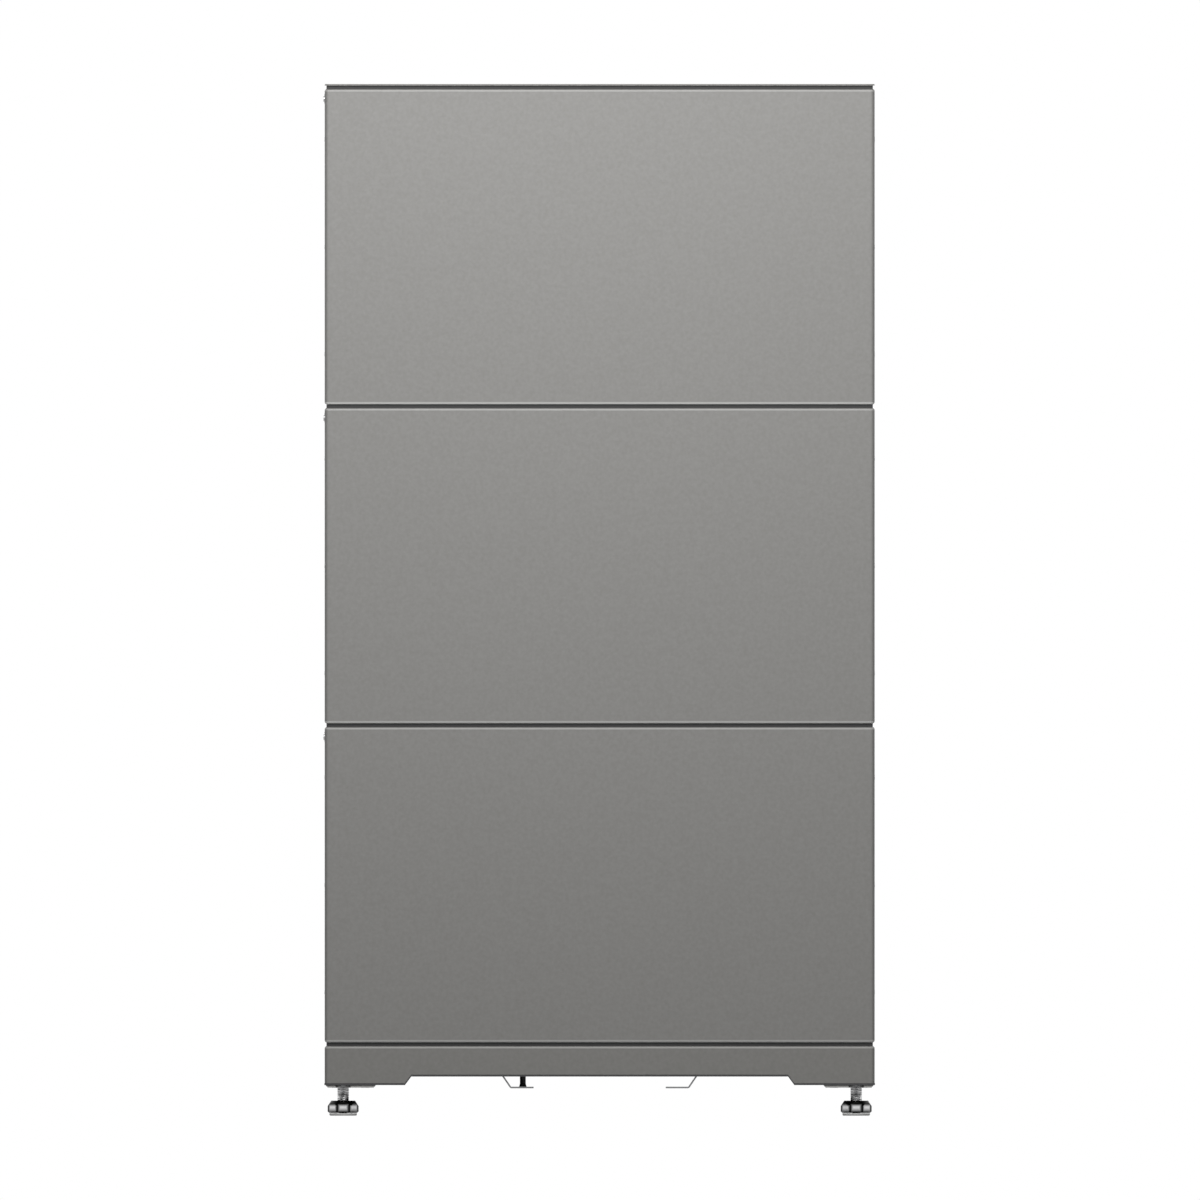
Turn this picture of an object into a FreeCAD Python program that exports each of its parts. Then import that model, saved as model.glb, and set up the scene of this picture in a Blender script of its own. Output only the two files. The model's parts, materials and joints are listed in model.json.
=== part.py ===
import FreeCAD, Part

import os
import re

import Sketcher

# A floor-standing stack of slim lithium battery modules on a base with levelling feet.
#
# Origin: centre of the footprint, on the floor. +X is to the right seen from the front, the front faces -Y
# and +Z is up. All lengths are millimetres.

# Driving dimensions: name, value, what it is.
SIZES = [
    ("case_width", 670.0, "width of a module and of the base"),
    ("case_depth", 150.0, "depth of a module and of the base, front face to rear face"),
    ("case_height", 384.5, "height of a module without its stacking frame"),
    ("seam_gap", 4.1, "open seam between two cases, and height of a stacking frame"),
    ("side_radius", 5.0, "rounding of the upright front edges"),
    ("edge_radius", 3.0, "rounding of every other outer edge of a case"),
    ("cover_depth", 24.0, "depth of the front cover"),
    ("cover_wall", 2.0, "sheet of the front cover"),
    ("housing_wall", 2.0, "sheet of the rear housing"),
    ("neck_length", 14.0, "reach of the housing's neck into the front cover"),
    ("neck_clearance", 0.3, "clearance between the neck and the front cover"),
    ("gasket_thickness", 2.0, "gasket between cover and housing"),
    ("gasket_inset", 1.0, "how far the gasket lies below the outer faces"),
    ("gasket_clearance", 0.2, "clearance between the gasket and the neck"),
    ("grip_width", 92.0, "length of a side hand grip, front to rear"),
    ("grip_height", 30.0, "opening of a side hand grip"),
    ("grip_reach", 20.0, "depth of a side hand grip"),
    ("grip_lip", 9.0, "finger room behind the upper lip of a hand grip"),
    ("grip_below", 90.0, "centre of a hand grip below the top of the case"),
    ("grip_radius", 7.0, "corner rounding of a hand grip"),
    ("fixing_inset", 95.0, "wall fixings from the side faces"),
    ("fixing_margin", 14.0, "wall fixings below the top of the case"),
    ("fixing_bore", 2.5, "radius of the threaded wall fixing, tapping size of M6"),
    ("fixing_boss", 13.0, "side of the square boss round a wall fixing"),
    ("fixing_depth", 12.0, "depth of a wall fixing"),
    ("sink_width", 165.0, "width of the finned recess in the rear wall"),
    ("sink_margin", 45.0, "finned recess from the top and bottom of the case"),
    ("sink_depth", 8.0, "depth of the finned recess"),
    ("fin_thickness", 2.5, "thickness of a cooling fin"),
    ("fin_spacing", 15.0, "distance from one cooling fin to the next"),
    ("fin_end_gap", 8.0, "gap over the cooling fins"),
    ("fin_foot_gap", 30.0, "gap under the cooling fins, with the pressure valve in it"),
    ("valve_height", 60.0, "centre of the pressure valve over the bottom of the case"),
    ("valve_cap", 10.0, "centre to corner of the pressure valve's hexagonal cap"),
    ("valve_cap_height", 3.2, "height of the pressure valve's cap"),
    ("valve_shank", 8.0, "side of the pressure valve's square snap-in shank"),
    ("valve_length", 7.0, "length of the pressure valve's shank"),
    ("lug_inset", 65.0, "guide lugs from the side faces"),
    ("lug_length", 16.0, "length of a guide lug at its root, left to right"),
    ("lug_width", 12.0, "width of a guide lug at its root, front to rear"),
    ("lug_taper", 2.0, "how much a guide lug narrows on each side towards its tip"),
    ("lug_reach", 14.0, "how far a guide lug enters the case below"),
    ("pocket_clearance", 0.5, "clearance between a guide lug's root and the pocket it enters"),
    ("pocket_floor_gap", 2.0, "room under a guide lug in its pocket"),
    ("link_inset", 135.0, "middle of the electronics and connectors from the right side face"),
    ("socket_length", 80.0, "inside length of the top connector"),
    ("socket_width", 26.0, "inside width of the top connector"),
    ("socket_depth", 20.0, "inside depth of the top connector below the case top"),
    ("socket_wall", 3.0, "wall of the top connector"),
    ("socket_flange", 5.0, "flange of a connector round its body"),
    ("flange_thickness", 2.0, "thickness of a connector flange"),
    ("cutout_clearance", 0.3, "clearance between a connector and its cut-out"),
    ("plug_clearance", 1.0, "clearance between plug and socket"),
    ("plug_reach", 12.0, "how far the plug enters the case below"),
    ("contact_spacing", 44.0, "distance between the two power contacts"),
    ("contact_length", 14.0, "length of a flat power contact"),
    ("contact_thickness", 4.0, "thickness of a flat power contact"),
    ("slot_clearance", 0.6, "clearance round a contact in the plug"),
    ("contact_height", 15.0, "height of a power contact"),
    ("signal_length", 14.0, "length of the signal contact block"),
    ("signal_width", 9.0, "width of the signal contact block"),
    ("frame_side_inset", 2.2, "stacking frame inside the side faces"),
    ("frame_front_inset", 4.0, "stacking frame inside the front and rear faces"),
    ("frame_rail", 12.0, "width of the stacking frame's rails"),
    ("frame_rib", 24.0, "width of the stacking frame's ribs, which carry the guide lugs"),
    ("cell_thickness", 50.0, "thickness of a battery cell"),
    ("cell_width", 160.0, "width of a battery cell, upright here"),
    ("cell_body", 118.0, "length of a battery cell from terminals to base, front to rear here"),
    ("cell_spacer", 0.4, "insulating film between cells"),
    ("row_gap", 10.0, "gap between the two rows of cells"),
    ("terminal_spacing", 110.0, "distance between a cell's two terminals"),
    ("terminal_width", 24.0, "width of a cell terminal"),
    ("terminal_height", 16.0, "height of a cell terminal"),
    ("carrier_thickness", 3.0, "thickness of the plastic carrier between the cells and the busbars"),
    ("carrier_margin", 4.0, "carrier inside the outline of the cell block"),
    ("busbar_thickness", 2.0, "thickness of a busbar"),
    ("busbar_margin", 1.0, "how much narrower a busbar is than a terminal, each side"),
    ("end_plate", 8.0, "thickness of a cell block's end plate"),
    ("tie_size", 5.0, "side of a square tie bar between the end plates"),
    ("tie_setback", 25.0, "tie bars from the front and rear of the cell block"),
    ("output_reach", 16.0, "how far the output busbars pass the end plate"),
    ("block_margin", 29.0, "cell block from the left face of the case"),
    ("board_width", 150.0, "width of the circuit board"),
    ("board_margin", 48.0, "circuit board from the top and bottom of the case"),
    ("board_thickness", 1.6, "thickness of the circuit board"),
    ("board_stand", 14.0, "height of the circuit board's posts"),
    ("board_post", 8.0, "side of a circuit board post"),
    ("post_inset", 10.0, "circuit board posts from the edges of the board"),
    ("part_margin", 14.0, "relay, fuse and chokes from the edges of the board"),
    ("relay_width", 46.0, "width of the main relay"),
    ("relay_height", 60.0, "height of the main relay"),
    ("relay_depth", 34.0, "depth of the main relay"),
    ("choke_side", 36.0, "side of a potted power choke"),
    ("choke_depth", 24.0, "depth of a power choke"),
    ("fuse_width", 18.0, "width and depth of the main fuse"),
    ("fuse_length", 56.0, "length of the main fuse"),
    ("lid_thickness", 1.8, "sheet of the top cover"),
    ("lid_bevel", 0.8, "bevelled upper edge of the top cover"),
    ("peg_reach", 10.0, "how far the top cover's lugs enter the top module"),
    ("skirt_bottom", 37.2, "lower edge of the base over the floor"),
    ("skirt_height", 47.8, "height of the base"),
    ("skirt_wall", 2.0, "sheet of the base shell"),
    ("arch_end", 105.5, "raised lower edge from the side faces, at its top"),
    ("arch_rise", 10.4, "how far the lower edge is raised"),
    ("arch_slope", 7.7, "run of the slope at each end of the raised edge"),
    ("beam_width", 52.0, "width of an end beam of the base frame"),
    ("beam_inset", 1.7, "end beam from the inside of the base shell"),
    ("beam_wall", 3.0, "wall of an end beam"),
    ("rail_width", 24.0, "width of a long rail of the base frame"),
    ("rail_height", 22.0, "height of a long rail of the base frame"),
    ("rail_wall", 2.0, "wall of a long rail"),
    ("rail_setback", 23.0, "middle of a long rail from the front or rear face"),
    ("plate_outer", 1.5, "foot plate inside the side face"),
    ("plate_width", 60.5, "width of a foot plate"),
    ("plate_thickness", 3.1, "thickness of a foot plate"),
    ("plate_bevel", 2.4, "bevelled long edge of a foot plate"),
    ("plate_end_gap", 0.8, "foot plate inside the front and rear faces"),
    ("foot_inset", 22.5, "levelling feet from the side faces"),
    ("foot_setback", 21.0, "levelling feet from the front and rear faces"),
    ("stud_radius", 7.0, "radius of a foot's threaded stud, M14"),
    ("stud_top", 64.0, "upper end of the stud over the floor"),
    ("thread_clearance", 0.3, "clearance between the stud and its bush"),
    ("bush_wall", 1.3, "wall of a hexagonal threaded bush at its flats"),
    ("bush_height", 19.0, "height of a threaded bush"),
    ("bush_drop", 2.6, "threaded bush below the lower edge of the base"),
    ("notch_clearance", 0.6, "clearance between a bush and the foot plate's notch"),
    ("hex_corner", 18.9, "centre to corner of the foot's hexagon"),
    ("hex_top", 18.3, "top of the hexagon over the floor"),
    ("hex_crown", 14.6, "centre to corner of the flat on top of the hexagon"),
    ("hex_bevel", 6.6, "height of the bevel on top of the hexagon"),
    ("pad_radius", 16.8, "radius of a foot pad"),
    ("pad_thickness", 3.0, "thickness of a foot pad"),
    ("snap_corner", 5.0, "centre to corner of the pad's hexagonal snap-in stud"),
    ("snap_height", 7.0, "height of the snap-in stud over the hexagon's underside"),
    ("swivel_clearance", 0.3, "clearance between the foot and its pad"),
    ("hook_x", 120.3, "outer face of a cable hook from the middle"),
    ("hook_sheet", 2.0, "sheet of a cable hook"),
    ("hook_width", 60.0, "width of a cable hook, front to rear"),
    ("hook_tab", 22.0, "length of the hook's tab under the base top"),
    ("hook_knee", 50.0, "where the hook starts to slope, over the floor"),
    ("hook_slope", 11.4, "sideways run of the slope"),
    ("hook_bottom", 33.3, "underside of the hook over the floor"),
    ("hook_flat", 28.4, "length of the flat at the bottom of the hook"),
    ("hook_bend", 1.5, "inner bend radius of a cable hook"),
    ("post_x", 93.6, "cable post left of the middle"),
    ("post_radius", 3.6, "radius of the cable post"),
    ("post_foot", 4.6, "radius of the cable post's flared foot"),
    ("post_flare", 3.5, "height of the cable post's flared foot"),
    ("post_height", 30.0, "height of the cable post"),
    ("terminal_x", 0.0, "middle of the cable terminals"),
    ("terminal_block", 96.0, "length of the terminal block"),
    ("terminal_depth", 34.0, "depth of the terminal block, front to rear"),
    ("terminal_drop", 16.0, "height of the terminal block"),
    ("inlet_spacing", 30.0, "distance from one cable inlet to the next"),
    ("inlet_corner", 9.5, "centre to corner of a hexagonal cable inlet"),
    ("inlet_bore", 4.5, "bore radius of a cable inlet"),
    ("inlet_length", 11.0, "length of a cable inlet below the block"),
    ("inlet_bore_depth", 18.0, "depth of a cable inlet's bore"),
    ("data_width", 16.0, "width of the data port"),
    ("data_depth", 14.0, "depth of the data port, front to rear"),
    ("data_length", 6.0, "length of the data port below the block"),
    ("data_wall", 2.0, "wall of the data port"),
    ("data_bore_depth", 12.0, "depth of the data port"),
]

MODULES = (1, 2, 3)
FEET = {
    "front_left": (-1, -1),
    "front_right": (1, -1),
    "rear_left": (-1, 1),
    "rear_right": (1, 1),
}

# Levels that several pieces share, as expressions of the driving dimensions.
HALF_WIDTH = "(case_width / 2)"
FRONT = "(-case_depth / 2)"
REAR = "(case_depth / 2)"
COVER_REAR = f"({FRONT} + cover_depth)"
HOUSING_FRONT = f"({COVER_REAR} + gasket_thickness)"
NECK_INSET = "(cover_wall + neck_clearance)"
NECK_FRONT = f"({COVER_REAR} - neck_length)"
INNER_REAR = f"({REAR} - housing_wall)"
CASE_STEP = "(case_height + seam_gap)"
BASE_TOP = "(skirt_bottom + skirt_height)"
BASE_CEILING = f"({BASE_TOP} - skirt_wall)"
LUG_X = f"({HALF_WIDTH} - lug_inset)"
FIXING_X = f"({HALF_WIDTH} - fixing_inset)"
GRIP_HEIGHT = "(case_height - grip_below)"
GRIP_Y = f"(({HOUSING_FRONT} + {REAR}) / 2)"
POCKET_LENGTH = "(lug_length + 2 * pocket_clearance)"
POCKET_WIDTH = "(lug_width + 2 * pocket_clearance)"
POCKET_DEPTH = "(lug_reach + pocket_floor_gap)"
LINK_X = f"({HALF_WIDTH} - link_inset)"
SINK_LEFT = f"({LINK_X} - sink_width / 2)"
SINK_RIGHT = f"({LINK_X} + sink_width / 2)"
SINK_FLOOR = f"({REAR} - sink_depth)"
FIN_COUNT = "(floor((sink_width - fin_thickness) / fin_spacing) + 1)"
CELL_FRONT = f"({INNER_REAR} - cell_body)"
CELL_LEFT = f"(block_margin + end_plate - {HALF_WIDTH})"
CELL_PITCH = "(cell_thickness + cell_spacer)"
CELL_ROOM = f"({SINK_LEFT} - housing_wall - end_plate - {CELL_LEFT} + cell_spacer)"
CELL_COLUMNS = f"(2 * floor({CELL_ROOM} / (2 * {CELL_PITCH})))"
CELL_RIGHT = f"({CELL_LEFT} + {CELL_COLUMNS} * {CELL_PITCH} - cell_spacer)"
ROW_PITCH = "(cell_width + row_gap)"
ROW_BOTTOM = "((case_height - 2 * cell_width - row_gap) / 2)"
BAR_REAR = f"({CELL_FRONT} - carrier_thickness)"
BOARD_LEFT = f"({LINK_X} - board_width / 2)"
BOARD_REAR = f"({INNER_REAR} - sink_depth - board_stand)"
BOARD_FRONT = f"({BOARD_REAR} - board_thickness)"
BEAM_OUT = f"({HALF_WIDTH} - skirt_wall - beam_inset)"
BEAM_IN = f"({BEAM_OUT} - beam_width)"
BEAM_END = f"({REAR} - skirt_wall - beam_inset)"
RAIL_Y = f"({REAR} - rail_setback)"
FOOT_X = f"({HALF_WIDTH} - foot_inset)"
FOOT_Y = f"({REAR} - foot_setback)"
BUSH_BORE = "(stud_radius + thread_clearance)"
BUSH_FLAT = f"({BUSH_BORE} + bush_wall)"
BUSH_CORNER = f"({BUSH_FLAT} * 2 / sqrt(3))"
PLUG_LENGTH = "(socket_length - 2 * plug_clearance)"
PLUG_WIDTH = "(socket_width - 2 * plug_clearance)"
SOCKET_FLOOR = "(case_height - socket_depth)"
HOOK_RISE = "(hook_knee - hook_bottom)"
HEX_BOTTOM = "(pad_thickness + swivel_clearance)"

DOC = FreeCAD.newDocument("battery_stack")
SHEET = DOC.addObject("Spreadsheet::Sheet", "Sizes")
NAMES = {name for name, _, _ in SIZES}
for row, (name, size, meaning) in enumerate(SIZES, 1):
    SHEET.set(f"A{row}", meaning)
    SHEET.set(f"B{row}", str(size))
    SHEET.setAlias(f"B{row}", name)
DOC.recompute()

PIECES = []


def bound(text):
    """An expression in the sheet's names, with every name marked as the sheet's."""
    return re.sub(r"[a-z_]+", lambda word: "Sizes." + word[0] if word[0] in NAMES else word[0], text)


def value(text):
    """The present value of an expression in the sheet's names."""
    return float(SHEET.evalExpression(bound(text)))


def rectangle(x_low, y_low, x_high, y_high):
    """Corners of a rectangle, as expressions."""
    return [(x_low, y_low), (x_high, y_low), (x_high, y_high), (x_low, y_high)]


def centred(x, y, width, height):
    """Corners of a rectangle about its middle, as expressions."""
    return rectangle(
        f"{x} - ({width}) / 2", f"{y} - ({height}) / 2", f"{x} + ({width}) / 2", f"{y} + ({height}) / 2"
    )


def hexagon(x, y, corner, upright=False):
    """Corners of a hexagon, as expressions: two of them left and right, or, if upright, above and below."""
    half, flat = f"{corner} / 2", f"{corner} * sqrt(3) / 2"
    points = [
        (corner, "0"),
        (half, flat),
        (f"-{half}", flat),
        (f"-{corner}", "0"),
        (f"-{half}", f"-{flat}"),
        (half, f"-{flat}"),
    ]
    if upright:
        points = [(v, u) for u, v in points]
    return [(f"{x} + ({u})", f"{y} + ({v})") for u, v in points]


def disc(x, y, radius):
    """A circle, as expressions."""
    return ("disc", x, y, radius)


class Piece:
    """One sub-part: a PartDesign body whose sizes and place are bound to the sheet."""

    def __init__(self, label, x="0", y="0", z="0"):
        self.body = DOC.addObject("PartDesign::Body", label)
        self.body.Label = label
        self.body.AllowCompound = True
        for axis, text in zip("xyz", (x, y, z)):
            self.body.setExpression(f".Placement.Base.{axis}", bound(text))
        PIECES.append(self.body)

    def origin(self, role):
        """The body's own origin plane or axis of that role."""
        return next(f for f in self.body.Origin.OriginFeatures if f.Role == role)

    def sketch(self, plane, level, shapes, shift="0"):
        """A sketch on an origin plane, moved along its normal to a level and sideways by a shift."""
        drawing = self.body.newObject("Sketcher::SketchObject", "Outline")
        drawing.AttachmentSupport = [(self.origin(plane), "")]
        drawing.MapMode = "FlatFace"
        normal = "-1" if plane == "XZ_Plane" else "1"
        drawing.setExpression(".AttachmentOffset.Base.z", bound(f"{normal} * ({level})"))
        drawing.setExpression(".AttachmentOffset.Base.x", bound(shift))
        rules = []
        for shape in shapes:
            if shape[0] == "disc":
                rules += self.draw_disc(drawing, *shape[1:])
            else:
                rules += self.draw_polygon(drawing, shape)
        drawing.addConstraint([rule for rule, _ in rules])
        for number, (_, text) in enumerate(rules):
            if text:
                drawing.setExpression(f"Constraints[{number}]", bound(text))
        return drawing

    @staticmethod
    def draw_disc(drawing, x, y, radius):
        """Draws a circle and returns its constraints, each with its expression."""
        centre = FreeCAD.Vector(value(x), value(y), 0)
        edge = drawing.addGeometry(Part.Circle(centre, FreeCAD.Vector(0, 0, 1), value(radius)), False)
        return [
            (Sketcher.Constraint("DistanceX", edge, 3, value(x)), x),
            (Sketcher.Constraint("DistanceY", edge, 3, value(y)), y),
            (Sketcher.Constraint("Radius", edge, value(radius)), radius),
        ]

    @staticmethod
    def draw_polygon(drawing, corners):
        """Draws a closed polygon and returns its constraints, each with its expression."""
        points = [FreeCAD.Vector(value(x), value(y), 0) for x, y in corners]
        lines = [
            drawing.addGeometry(Part.LineSegment(start, stop), False)
            for start, stop in zip(points, points[1:] + points[:1])
        ]
        rules = [
            (Sketcher.Constraint("Coincident", line, 2, following, 1), "")
            for line, following in zip(lines, lines[1:] + lines[:1])
        ]
        for line, (x, y) in zip(lines, corners):
            rules.append((Sketcher.Constraint("DistanceX", line, 1, value(x)), x))
            rules.append((Sketcher.Constraint("DistanceY", line, 1, value(y)), y))
        return rules

    def prism(self, kind, plane, low, high, shapes):
        """A Pad or a Pocket of flat shapes from one level up to another."""
        profile = self.sketch(plane, low, shapes)
        feature = self.body.newObject(f"PartDesign::{kind}", kind)
        feature.Profile = profile
        feature.setExpression("Length", bound(f"({high}) - ({low})"))
        feature.Reversed = (plane == "XZ_Plane") == (kind == "Pad")
        feature.Refine = True
        self.body.Tip = feature
        return feature

    def add(self, plane, low, high, *shapes):
        """Adds a prism of flat shapes between two levels."""
        return self.prism("Pad", plane, low, high, shapes)

    def cut(self, plane, low, high, *shapes):
        """Cuts a prism of flat shapes away between two levels."""
        return self.prism("Pocket", plane, low, high, shapes)

    def loft(self, low, low_shape, high, high_shape):
        """A loft between two flat shapes at two heights."""
        profile = self.sketch("XY_Plane", low, [low_shape])
        section = self.sketch("XY_Plane", high, [high_shape])
        feature = self.body.newObject("PartDesign::AdditiveLoft", "Loft")
        feature.Profile = profile
        feature.Sections = [section]
        feature.Ruled = True
        feature.Refine = True
        self.body.Tip = feature
        return feature

    def turn(self, outline, x="0"):
        """A Revolution of an outline, given as radius and height, about an upright axis."""
        profile = self.sketch("XZ_Plane", "0", [outline], shift=x)
        feature = self.body.newObject("PartDesign::Revolution", "Revolution")
        feature.Profile = profile
        feature.ReferenceAxis = (profile, ["V_Axis"])
        feature.Angle = 360
        feature.Refine = True
        self.body.Tip = feature
        return feature

    def row(self, axis, pitch, count):
        """Repeats the whole piece along an axis."""
        feature = self.body.newObject("PartDesign::LinearPattern", "Row")
        feature.TransformMode = "Whole shape"
        feature.Direction = (self.origin(f"{axis}_Axis"), [""])
        feature.Mode = "Spacing"
        feature.setExpression("Offset", bound(pitch))
        feature.setExpression("Occurrences", bound(count))
        self.body.Tip = feature
        return feature

    def repeat(self, features, axis, pitch, count):
        """Repeats some features along an axis."""
        feature = self.body.newObject("PartDesign::LinearPattern", "Repeat")
        feature.Originals = features
        feature.Direction = (self.origin(f"{axis}_Axis"), [""])
        feature.Mode = "Spacing"
        feature.setExpression("Offset", bound(pitch))
        feature.setExpression("Occurrences", bound(count))
        self.body.Tip = feature
        return feature

    def mirror(self, plane):
        """Adds the piece's mirror image about one of its origin planes."""
        feature = self.body.newObject("PartDesign::Mirrored", "Mirror")
        feature.TransformMode = "Whole shape"
        feature.MirrorPlane = (self.origin(plane), [""])
        self.body.Tip = feature
        return feature

    def dress(self, kind, size, pick):
        """A Fillet or a Chamfer on the edges that pick accepts."""
        DOC.recompute()
        base = self.body.Tip
        edges = [f"Edge{i}" for i, edge in enumerate(base.Shape.Edges, 1) if pick(edge)]
        feature = self.body.newObject(f"PartDesign::{kind}", kind)
        feature.Base = (base, edges)
        feature.setExpression("Radius" if kind == "Fillet" else "Size", bound(size))
        self.body.Tip = feature
        return feature


def runs(edge, axis):
    """Whether an edge is straight and parallel to an axis."""
    if edge.Degenerated or edge.Curve.TypeId != "Part::GeomLine":
        return False
    direction = edge.Curve.Direction
    return abs(abs(getattr(direction, axis)) - 1) < 1e-6


def lies(edge, axis, *levels):
    """Whether an edge lies wholly at one of the levels along an axis, on either side of zero."""
    box = edge.BoundBox
    low, high = getattr(box, axis + "Min"), getattr(box, axis + "Max")
    return any(abs(abs(low) - abs(level)) < 1e-3 and abs(abs(high) - abs(level)) < 1e-3 for level in levels)


def case_outline(inset):
    """The case's front outline, drawn in by an inset."""
    return rectangle(
        f"{inset} - {HALF_WIDTH}", inset, f"{HALF_WIDTH} - ({inset})", f"case_height - ({inset})"
    )


def footprint(side_inset, front_inset):
    """The footprint, drawn in at the sides and at front and rear."""
    return rectangle(
        f"{side_inset} - {HALF_WIDTH}",
        f"{FRONT} + {front_inset}",
        f"{HALF_WIDTH} - {side_inset}",
        f"{REAR} - {front_inset}",
    )


def pair(x, y, radius):
    """Two equal circles left and right of the middle."""
    return disc(x, y, radius), disc(f"-{x}", y, radius)


def housing(label, level):
    """Rear housing: a tub open to the front, with its neck, hand grips, fins, pockets and bosses."""
    piece = Piece(label, z=level)
    piece.add("XZ_Plane", HOUSING_FRONT, REAR, case_outline("0"))
    piece.dress("Fillet", "edge_radius", lambda edge: runs(edge, "y"))
    piece.add("XZ_Plane", NECK_FRONT, HOUSING_FRONT, case_outline(NECK_INSET))
    piece.cut("XZ_Plane", NECK_FRONT, INNER_REAR, case_outline(f"{NECK_INSET} + housing_wall"))
    piece.cut("XZ_Plane", f"{HOUSING_FRONT} + housing_wall", INNER_REAR, case_outline("housing_wall"))
    add_fins(piece)
    add_grips(piece)
    add_pockets(piece)
    add_fixings(piece)
    for low, high, opening in (
        ("case_height - housing_wall", "case_height", socket_opening()),
        ("0", "housing_wall", plug_opening()),
    ):
        piece.cut("XY_Plane", low, high, opening)
    valve_hole = centred(LINK_X, "valve_height", "valve_shank", "valve_shank")
    piece.cut("XZ_Plane", f"{SINK_FLOOR} - housing_wall", SINK_FLOOR, valve_hole)


def socket_opening():
    """The cut-out for a power connector in the top of a case or of the base."""
    length = "socket_length + 2 * (socket_wall + cutout_clearance)"
    return centred(LINK_X, "0", length, "socket_width + 2 * (socket_wall + cutout_clearance)")


def plug_opening():
    """The cut-out for the plug in the floor of a case."""
    length = f"{PLUG_LENGTH} + 2 * cutout_clearance"
    return centred(LINK_X, "0", length, f"{PLUG_WIDTH} + 2 * cutout_clearance")


def add_fins(piece):
    """A recess in the rear wall, behind the electronics, with upright cooling fins."""
    low, high = "sink_margin", "case_height - sink_margin"
    piece.add(
        "XZ_Plane",
        f"{SINK_FLOOR} - housing_wall",
        INNER_REAR,
        rectangle(
            f"{SINK_LEFT} - housing_wall",
            f"{low} - housing_wall",
            f"{SINK_RIGHT} + housing_wall",
            f"{high} + housing_wall",
        ),
    )
    piece.cut("XZ_Plane", SINK_FLOOR, REAR, rectangle(SINK_LEFT, low, SINK_RIGHT, high))
    first = f"({LINK_X} - (({FIN_COUNT} - 1) * fin_spacing + fin_thickness) / 2)"
    fin = piece.add(
        "XZ_Plane",
        SINK_FLOOR,
        REAR,
        rectangle(first, f"{low} + fin_foot_gap", f"{first} + fin_thickness", f"{high} - fin_end_gap"),
    )
    piece.repeat([fin], "X", "fin_spacing", FIN_COUNT)


def add_grips(piece):
    """A hand grip in each side wall: a cup with finger room behind its upper lip."""
    left, right = f"{GRIP_Y} - grip_width / 2", f"{GRIP_Y} + grip_width / 2"
    bottom, top = f"{GRIP_HEIGHT} - grip_height / 2", f"{GRIP_HEIGHT} + grip_height / 2"
    for outside, wall, floor, back in (
        (f"-{HALF_WIDTH}", "housing_wall", "grip_reach", "grip_reach + housing_wall"),
        (HALF_WIDTH, "-housing_wall", "-grip_reach", "-grip_reach - housing_wall"),
    ):
        levels = [f"{outside} + ({step})" for step in (wall, back, "0", floor)]
        if wall.startswith("-"):
            levels = [levels[1], levels[0], levels[3], levels[2]]
        cup_low, cup_high, low, high = levels
        piece.add(
            "YZ_Plane",
            cup_low,
            cup_high,
            rectangle(
                f"{left} - housing_wall",
                f"{bottom} - housing_wall",
                f"{right} + housing_wall",
                f"{top} + grip_lip + housing_wall",
            ),
        )
        piece.cut("YZ_Plane", low, high, rectangle(left, bottom, right, top))
        lip_low, lip_high = (cup_low, high) if low.startswith("-") else (low, cup_high)
        piece.cut("YZ_Plane", lip_low, lip_high, rectangle(left, top, right, f"{top} + grip_lip"))
    sides = value(left), value(right)
    heights = value(bottom), value(top)
    piece.dress(
        "Fillet",
        "grip_radius",
        lambda edge: runs(edge, "x")
        and any(abs(edge.BoundBox.YMin - side) < 1e-3 for side in sides)
        and any(abs(edge.BoundBox.ZMin - height) < 1e-3 for height in heights),
    )


def add_pockets(piece):
    """Two closed pockets in the top wall that take the guide lugs of the case above."""
    floor = f"case_height - {POCKET_DEPTH}"
    wall = "2 * housing_wall"
    bosses = lug_outlines(f"{POCKET_LENGTH} + {wall}", f"{POCKET_WIDTH} + {wall}")
    piece.add("XY_Plane", f"{floor} - housing_wall", "case_height - housing_wall", *bosses)
    piece.cut("XY_Plane", floor, "case_height", *lug_outlines(POCKET_LENGTH, POCKET_WIDTH))


def lug_outlines(length, width):
    """Two rectangles of one size where the guide lugs are."""
    return [centred(x, "0", length, width) for x in (LUG_X, f"-{LUG_X}")]


def add_fixings(piece):
    """Two blind threaded bosses in the rear wall, for brackets that tie the stack to a wall."""
    height = "(case_height - fixing_margin)"
    sides = FIXING_X, f"-{FIXING_X}"
    bosses = [centred(x, height, "fixing_boss", "fixing_boss") for x in sides]
    piece.add("XZ_Plane", f"{REAR} - fixing_depth - housing_wall", INNER_REAR, *bosses)
    piece.cut("XZ_Plane", f"{REAR} - fixing_depth", REAR, *pair(FIXING_X, height, "fixing_bore"))


def front_cover(label, level):
    """Front cover: a shallow tray with rounded edges, slipped over the housing's neck."""
    piece = Piece(label, z=level)
    piece.add("XZ_Plane", FRONT, COVER_REAR, case_outline("0"))
    front, rear, top = value(FRONT), value(COVER_REAR), value("case_height")
    piece.dress("Fillet", "side_radius", lambda edge: runs(edge, "z") and lies(edge, "Y", front))
    piece.dress(
        "Fillet",
        "edge_radius",
        lambda edge: runs(edge, "y") or lies(edge, "Z", 0, top) and not lies(edge, "Y", rear),
    )
    piece.cut("XZ_Plane", f"{FRONT} + cover_wall", COVER_REAR, case_outline("cover_wall"))


def gasket(label, level):
    """Rubber seal round the joint between cover and housing."""
    piece = Piece(label, z=level)
    inner = case_outline(f"{NECK_INSET} - gasket_clearance")
    piece.add("XZ_Plane", COVER_REAR, HOUSING_FRONT, case_outline("gasket_inset"), inner)


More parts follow.
